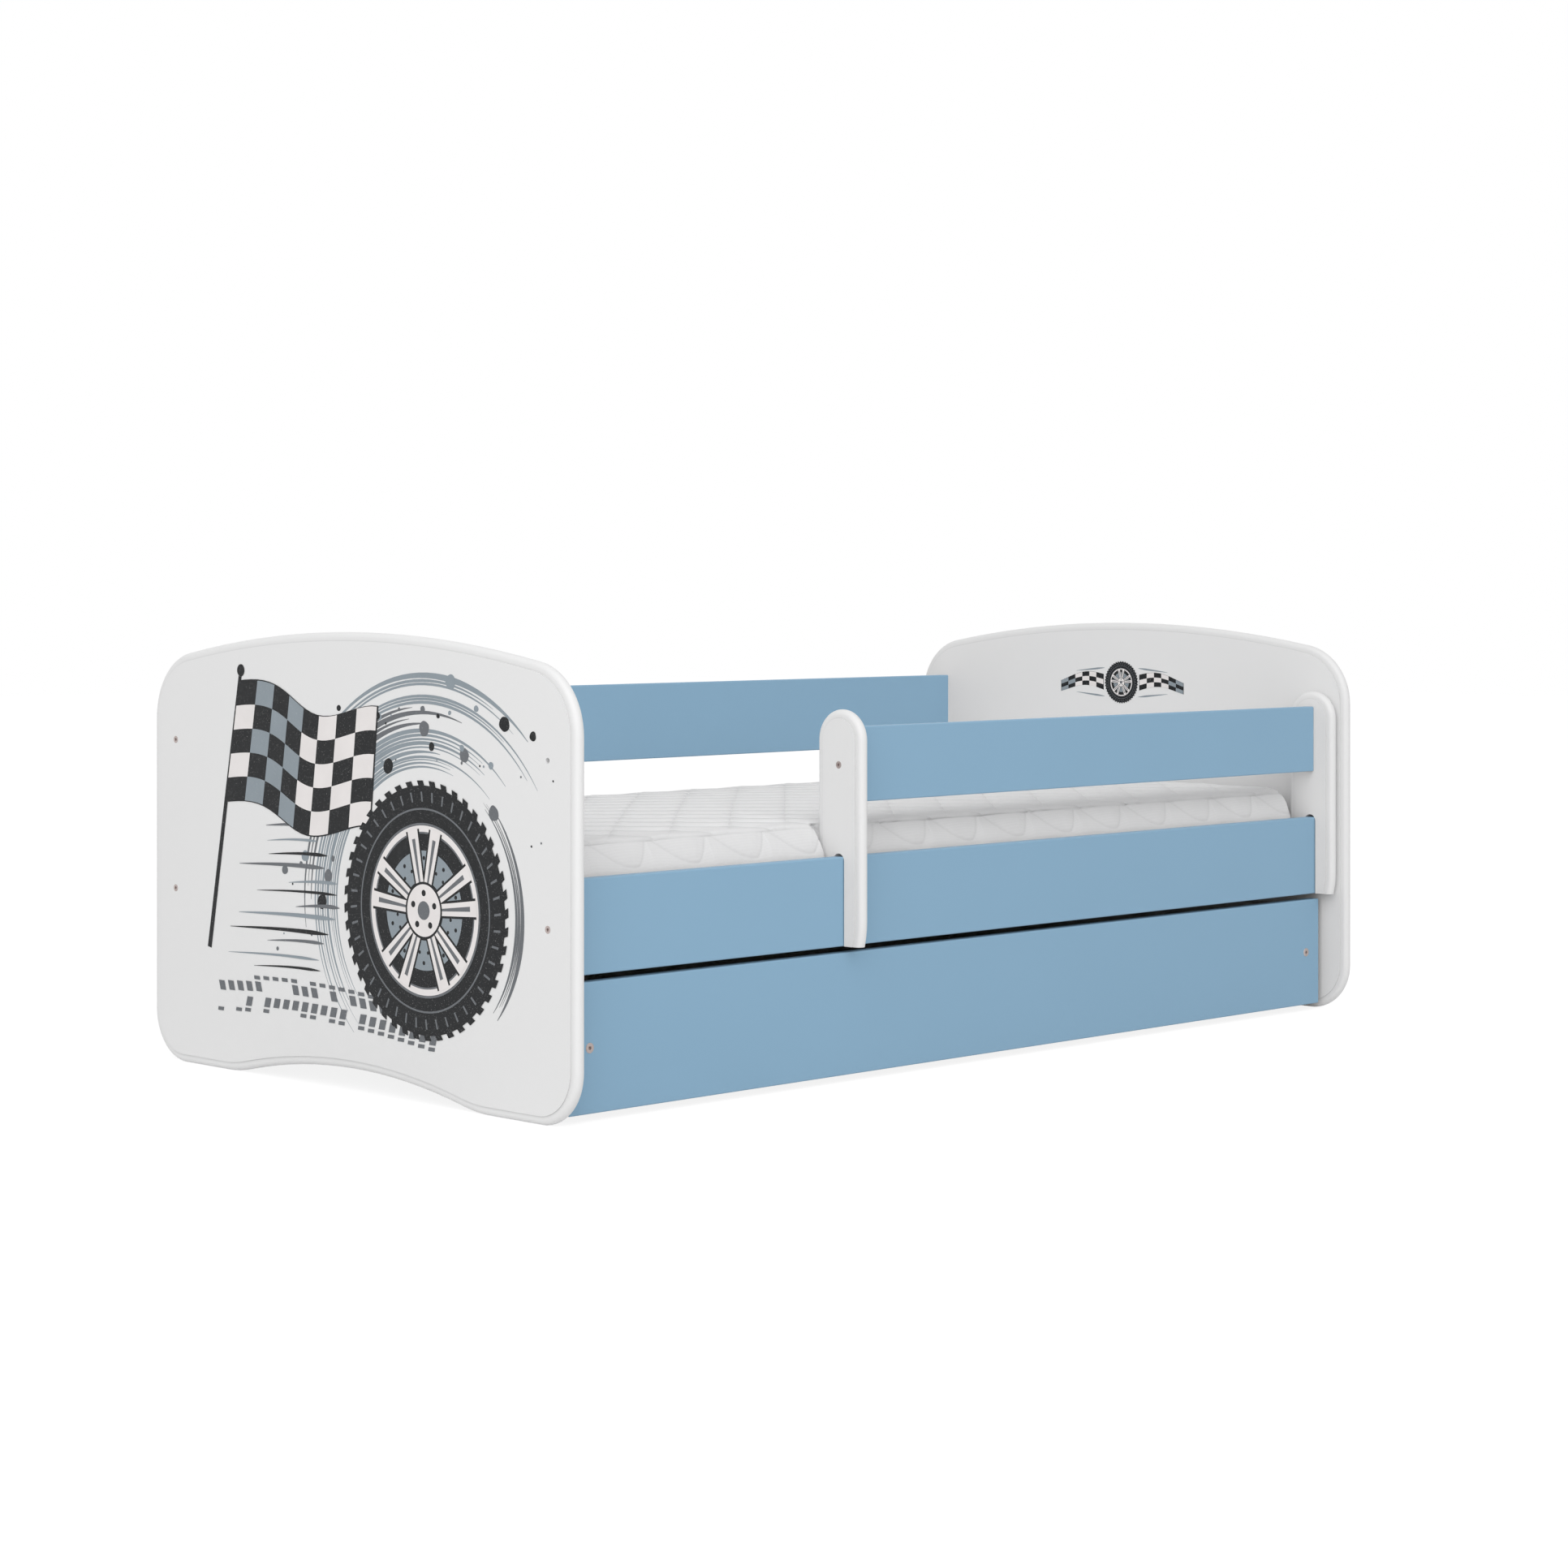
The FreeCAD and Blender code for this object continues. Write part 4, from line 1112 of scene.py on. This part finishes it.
# %% [markdown]
# The rest of the print is looser: a dry brush swept round the wheel, the track of its tyre and drops of
# paint. How ragged they come out is a matter of chance, so each function is handed a source of random
# numbers. A photograph of real brush work would be truer, but it would blur from close by.

# %% Motif: bristle sweeps
bristle_widths, bristle_gaps = (2.4, 8.5), (0.1, 1.1)
bristle_kept, bristle_head = 0.86, 0.35
degrees_a_point, fewest_points = 3, 8


def bristle_sweep(centre, radii, turns, ragged, dice):
    """A dry brush swept round a centre: bristles side by side that start and end unevenly."""
    outlines = []
    radius, last = radii
    start, end = turns
    while radius < last:
        width = dice.uniform(*bristle_widths)
        begin = start + dice.gauss(0, ragged)
        finish_at = end + dice.gauss(0, ragged)
        if dice.random() < bristle_kept:
            count = max(fewest_points, int(abs(finish_at - begin) / degrees_a_point))
            path = arc_path(centre, radius + width / 2, begin, finish_at, count)
            outlines.append(stroke(path, tapered(width, count, bristle_head)))
        radius += width + dice.uniform(*bristle_gaps)
    return outlines


print("bristles:", bristle_widths, "mm wide")

# %% [markdown]
# A track is the print of the tyre's lugs, in two rows at each side of its middle line. A row has a near
# and a far edge, and each edge is shifted along the track by its own amount, which slants the lug.

# %% Motif: a tyre track
tread_fill, tread_loss = 0.62, 0.75
tread_rows = ((4, 17, 0, -4), (20, 25, -5, -6))


def tread_track(path_start, path_end, rise, pitch, dice):
    """Rows of lug prints at both sides of a shallow curve, with more of them missing at its far end."""
    count = int(abs(path_end[0] - path_start[0]) / pitch)
    wide = tread_fill * pitch
    shapes = []
    for near, far, near_shift, far_shift in tread_rows:
        near_edge = [(near_shift, near), (wide + near_shift, near)]
        shapes.append(near_edge + [(wide + far_shift, far), (far_shift, far)])
    blocks = []
    for index in range(count):
        share = index / count
        at = np.array(path_start) + share * (np.array(path_end) - np.array(path_start))
        at = at + np.array((0, rise * math.sin(math.pi * share)))
        for side in (-1, 1):
            for shape in shapes:
                if dice.random() > tread_loss * share ** 2:
                    blocks.append(at + np.array(shape) * np.array((1, side)))
    return blocks


print("rows of lugs:", 2 * len(tread_rows))

# %% [markdown]
# A drop of paint is a circle whose edge wanders. Three waves of different length, each with a size and
# a shift drawn by chance, are added to its radius. It stays closed, because each wave fits round it.

# %% Motif: blots
blot_wander, blot_shift = 0.16, 6.28
blot_orders, blot_points = (2, 3, 5), 40


def blot(centre, radius, dice):
    """A drop of paint: a circle whose edge wanders."""
    waves = []
    for order in blot_orders:
        size = dice.uniform(0, blot_wander) / order
        waves.append((order, size, dice.uniform(0, blot_shift)))
    turn = np.linspace(0, 2 * math.pi, blot_points, endpoint=False)
    reach = radius * (1 + sum(size * np.sin(order * turn + shift) for order, size, shift in waves))
    return np.array(centre) + reach[:, None] * np.stack([np.cos(turn), np.sin(turn)], 1)


print("waves round a blot:", blot_orders)

# %% [markdown]
# Ink on a laminate is not one flat tone: it takes unevenly, with tiny pinholes and a slightly
# different gloss from the board. That is one more effect group, shared by the four inks.

# %% Printing inks
take_scale, pinhole_scale, pinhole_level = 26.0, 900.0, 0.69
take_spread, ink_gloss_spread, ink_pinholes = 0.16, 0.9, 0.35
ink_relief = 0.00001


def ink_grain():
    """Printed ink: cloudy coverage, fine pinholes and an uneven gloss."""
    group, start, end = effect_group(
        "ink_grain",
        {"Colour": (1, 1, 1, 1), "Board": (1, 1, 1, 1), "Pinholes": 0.5},
        {"Colour": "NodeSocketColor", "Roughness": "NodeSocketFloat", "Height": "NodeSocketFloat"},
    )
    place = start.outputs["Place"]
    clouds = around(group, noise(group, place, take_scale, detail=4.0), 1.0, take_spread)
    specks = noise(group, place, pinhole_scale, detail=2.0)
    holes = math_node(group, "GREATER_THAN", specks, pinhole_level)
    holes = math_node(group, "MULTIPLY", holes, start.outputs["Pinholes"])
    mix = place_node(group, "ShaderNodeMix", data_type="RGBA")
    group.links.new(holes, mix.inputs["Factor"])
    group.links.new(shade(group, start.outputs["Colour"], clouds), mix.inputs["A"])
    group.links.new(start.outputs["Board"], mix.inputs["B"])
    group.links.new(mix.outputs["Result"], end.inputs["Colour"])
    group.links.new(around(group, clouds, 0.0, ink_gloss_spread), end.inputs["Roughness"])
    group.links.new(specks, end.inputs["Height"])
    return group


groups["ink_grain"] = ink_grain()
ink_colours = {
    "dark": (0.0125, 0.0135, 0.015, 1),
    "grey": (0.155, 0.165, 0.178, 1),
    "blue": (0.285, 0.330, 0.365, 1),
    "warm": (0.860, 0.825, 0.815, 1),
}
inks = {}
for ink, colour in ink_colours.items():
    values = {"Colour": colour, "Board": white_lacquer, "Pinholes": ink_pinholes}
    inks[ink] = finish("ink_" + ink, "ink_grain", values, ink_relief, Specular_IOR_Level=0.2)
print("inks:", sorted(inks))

# %% [markdown]
# A 2D curve fills its outlines by itself, and where two overlap it leaves a hole, which makes rings
# easy. Given a little depth, it becomes a film of a few hundredths of a millimetre, like dried ink.

# %% Fill outlines with ink
film = 0.00003


def filled(outlines):
    """A thin mesh inside closed outlines. Where two overlap there is a hole, as in a ring."""
    curve = bpy.data.curves.new("outline", "CURVE")
    curve.dimensions = "2D"
    curve.fill_mode = "BOTH"
    curve.extrude = film / 2
    for outline in outlines:
        spline = curve.splines.new("POLY")
        spline.points.add(len(outline) - 1)
        corners = np.ones((len(outline), 4))
        corners[:, :2] = outline / 1000
        corners[:, 2] = 0
        spline.points.foreach_set("co", corners.astype(np.float32).ravel())
        spline.use_cyclic_u = True
    holder = bpy.data.objects.new("outline", curve)
    mesh = bpy.data.meshes.new_from_object(holder)
    bpy.data.objects.remove(holder)
    bpy.data.curves.remove(curve)
    return mesh


print("film:", round(1e6 * film), "micrometres")

# %% [markdown]
# Each layer lies a hair above the one before it, so no two faces fight for the same place. All layers
# of one ink on one board are joined to one piece, which rides on the frame.

# %% Lay the inks on a board
first_lift, lift_step = 0.00006, 0.00004
weld_distance = 1e-6


def print_on(board, plane, layers):
    """One thin mesh per ink on a face that looks towards -X, each layer a hair above the last."""
    sheets = {}
    for order, (ink, outlines) in enumerate(layers):
        flat = filled(outlines)
        points = read_points(flat)
        lift = first_lift + order * lift_step
        placed = np.stack([plane - lift - points[:, 2], -points[:, 0], points[:, 1]], 1)
        write_points(flat, placed)
        sheet = sheets.setdefault(ink, bmesh.new())
        sheet.from_mesh(flat)
        bpy.data.meshes.remove(flat)
    for ink, sheet in sheets.items():
        bmesh.ops.remove_doubles(sheet, verts=sheet.verts, dist=weld_distance)
        mesh = bpy.data.meshes.new(board + "_print_" + ink)
        sheet.to_mesh(mesh)
        sheet.free()
        mesh.materials.append(inks[ink])
        piece = link_piece(mesh.name, mesh)
        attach(piece, "frame")
        print(mesh.name, "faces:", len(mesh.polygons))


print("from layer to layer:", round(1e6 * lift_step), "micrometres")

# %% [markdown]
# On the footboard the cloth flies from a pole at the upper left. It hangs from the pole along one edge
# and is free at the other, so the wave grows and the cloth sags on its way out. Pale cells turn blue
# grey where the wave falls steeply enough.

# %% Flag of the footboard
pole_foot, pole_head = np.array((-318.0, 168.0)), np.array((-246.0, 548.0))
cloth_length, cloth_share, cloth_top = 318.0, 0.44, 0.03
flag_waves, flag_phase = 1.15, 0.5
wave_height, wave_at_pole, wave_pull = 21, 0.35, 7
cloth_drop, drop_power = 34, 1.4
top_narrowing, top_drop = 0.05, 10
fold_level = -0.15


def flag_place(across, up):
    """Where a place on the flag lies: from the pole to the right, waving more towards its end."""
    pole = pole_head + (pole_foot - pole_head) * ((1 - up) * cloth_share + cloth_top)[:, None]
    turn = 2 * math.pi * flag_waves * across
    wave = wave_height * np.sin(turn + flag_phase) * (wave_at_pole + (1 - wave_at_pole) * across)
    sag = -cloth_drop * across ** drop_power
    reach = cloth_length * across + wave_pull * np.sin(turn)
    return pole + np.stack([reach * (1 - top_narrowing * up), wave + sag - top_drop * across * up], 1)


def flag_falls(across):
    """Whether the wave of the cloth falls there, steeply enough to make a fold."""
    return math.cos(2 * math.pi * flag_waves * across + flag_phase) < fold_level


print("flag:", cloth_length, "mm long")

# %% [markdown]
# Streaks of wind run behind the wheel and drops of paint fly round it. All random draws of the print
# come from one seeded source, so it is the same in every run.

# %% Streaks and blots of the footboard
print_seed = 7
dice = random.Random(print_seed)
wheel_centre = np.array((158.0, 252.0))
streak_count, streak_points, streak_head = 12, 24, 0.85
streak_widths, streak_lengths = (3.0, 6.5), (90, 230)
streak_low, streak_pitch, streak_jitter = 150, 17.5, 3
streak_end, streak_play, streak_middle, streak_fan = -22, (-24, 10), 5, 6
streak_bow, streak_bend = 5, 2
streak_inks = ("dark", "blue", "grey")
blot_turns, blot_least, blot_growth = (20, 200), 1.4, 9


def streaks():
    """Tapered lines of wind behind the wheel, dark, blue and grey in turn."""
    lines = {"dark": [], "grey": [], "blue": []}
    for index in range(streak_count):
        height = streak_low + streak_pitch * index + dice.uniform(-streak_jitter, streak_jitter)
        right = streak_end + dice.uniform(*streak_play) - streak_fan * abs(index - streak_middle)
        length = dice.uniform(*streak_lengths)
        run = np.linspace(0, 1, streak_points)
        path = np.stack([right - length * (1 - run), height + streak_bow * np.sin(streak_bend * run)], 1)
        ink = streak_inks[index % len(streak_inks)]
        width = dice.uniform(*streak_widths)
        lines[ink].append(stroke(path, tapered(width, streak_points, streak_head)))
    return [(ink, outlines) for ink, outlines in lines.items()]


def blots(count, reaches, inks_in_turn):
    """Drops of paint thrown about the wheel, mostly small ones."""
    drops = {ink: [] for ink in inks_in_turn}
    for index in range(count):
        turn = math.radians(dice.uniform(*blot_turns))
        reach = dice.uniform(*reaches)
        place = wheel_centre + reach * np.array((math.cos(turn), math.sin(turn)))
        radius = blot_least + blot_growth * dice.random() ** 3
        drops[inks_in_turn[index % len(inks_in_turn)]].append(blot(place, radius, dice))
    return [(ink, outlines) for ink, outlines in drops.items()]


print("streaks:", streak_count, "seed:", print_seed)

# %% [markdown]
# Now the layers are put in order, from the brushed swirl at the back to the wheel in front, which rolls
# out of it at the lower right and leaves its track. A sweep is an ink, two radii in millimetres, two
# angles in degrees and the raggedness of its ends.

# %% Print of the footboard
wheel_radius = 162.0
sweeps = [
    ("blue", (184, 236), (64, 214), 9),
    ("grey", (238, 262), (80, 172), 12),
    ("blue", (264, 312), (52, 148), 10),
    ("grey", (181, 204), (-38, 46), 8),
]
blot_count, blot_reaches = 46, (190, 330)
track_start, track_end = (172, 96), (-334, 104)
track_rise, track_pitch = 14, 21.0
pole_points, pole_widths = 12, (9, 7)
knob_offset, knob_radius = (1.5, 8), 8.5
flag_columns, flag_rows = 8, 5

footboard_layers = []
for ink, radii, turns, ragged in sweeps:
    footboard_layers.append((ink, bristle_sweep(wheel_centre, radii, turns, ragged, dice)))
footboard_layers += blots(blot_count, blot_reaches, ("grey", "blue", "dark")) + streaks()
footboard_layers.append(("grey", tread_track(track_start, track_end, track_rise, track_pitch, dice)))
pole_shares = np.linspace(0, 1, pole_points)
pole_line = np.stack([pole_foot + (pole_head - pole_foot) * share for share in pole_shares])
pole = stroke(pole_line, np.linspace(*pole_widths, pole_points))
footboard_layers.append(("dark", [pole, circle(pole_head + knob_offset, knob_radius, count=40)]))
footboard_layers += cloth_layers(flag_place, flag_columns, flag_rows, flag_falls)
footboard_layers += wheel_layers(wheel_centre, wheel_radius)
print_on("footboard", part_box("footboard")[0].x, footboard_layers)

# %% [markdown]
# The headboard has a small emblem on its inner face, above the mattress: the same wheel again, between
# two bent ribbons of the chequered cloth and with four blue stripes. Only the bend of the ribbons and
# the stripes are new.

# %% Print of the headboard
emblem_centre = np.array((0.0, 511.0))
emblem_radius = 34.0
ribbon_length, ribbon_height = 92.0, 26.0
ribbon_gap, ribbon_narrowing = 5, 0.3
ribbon_bow, ribbon_turns, ribbon_droop = 7, 1.2, 4
ribbon_columns, ribbon_rows, ribbon_fold = 6, 3, 0.62
stripe_points, stripe_rises = 20, (-24, 24)
stripe_gap, stripe_length, stripe_closing = 2, 62, 0.25
stripe_width, stripe_head = 3.2, 0.25


def ribbon(side):
    """A bent chequered ribbon at one side of the small wheel."""
    def place(across, up):
        """Where a place on the ribbon lies, lower and narrower towards its end."""
        lean = ribbon_bow * np.sin(math.pi * ribbon_turns * across) - ribbon_droop * across
        reach = side * (emblem_radius + ribbon_gap + ribbon_length * across)
        tall = ribbon_height * (1 - ribbon_narrowing * across)
        return emblem_centre + np.stack([reach, lean + (up - 0.5) * tall], 1)
    return cloth_layers(place, ribbon_columns, ribbon_rows, lambda across: across > ribbon_fold)


def stripes(side):
    """Two stripes that leave the small wheel at one side and close in on each other."""
    run = np.linspace(0, 1, stripe_points)
    reach = side * (emblem_radius + stripe_gap + stripe_length * run)
    widths = tapered(stripe_width, stripe_points, stripe_head)
    outlines = []
    for rise in stripe_rises:
        path = np.stack([reach, rise * (1 - stripe_closing * run)], 1)
        outlines.append(stroke(emblem_centre + path, widths))
    return outlines


headboard_layers = [("blue", stripes(-1) + stripes(1))]
headboard_layers += ribbon(-1) + ribbon(1) + wheel_layers(emblem_centre, emblem_radius)
print_on("headboard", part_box("headboard")[0].x, headboard_layers)
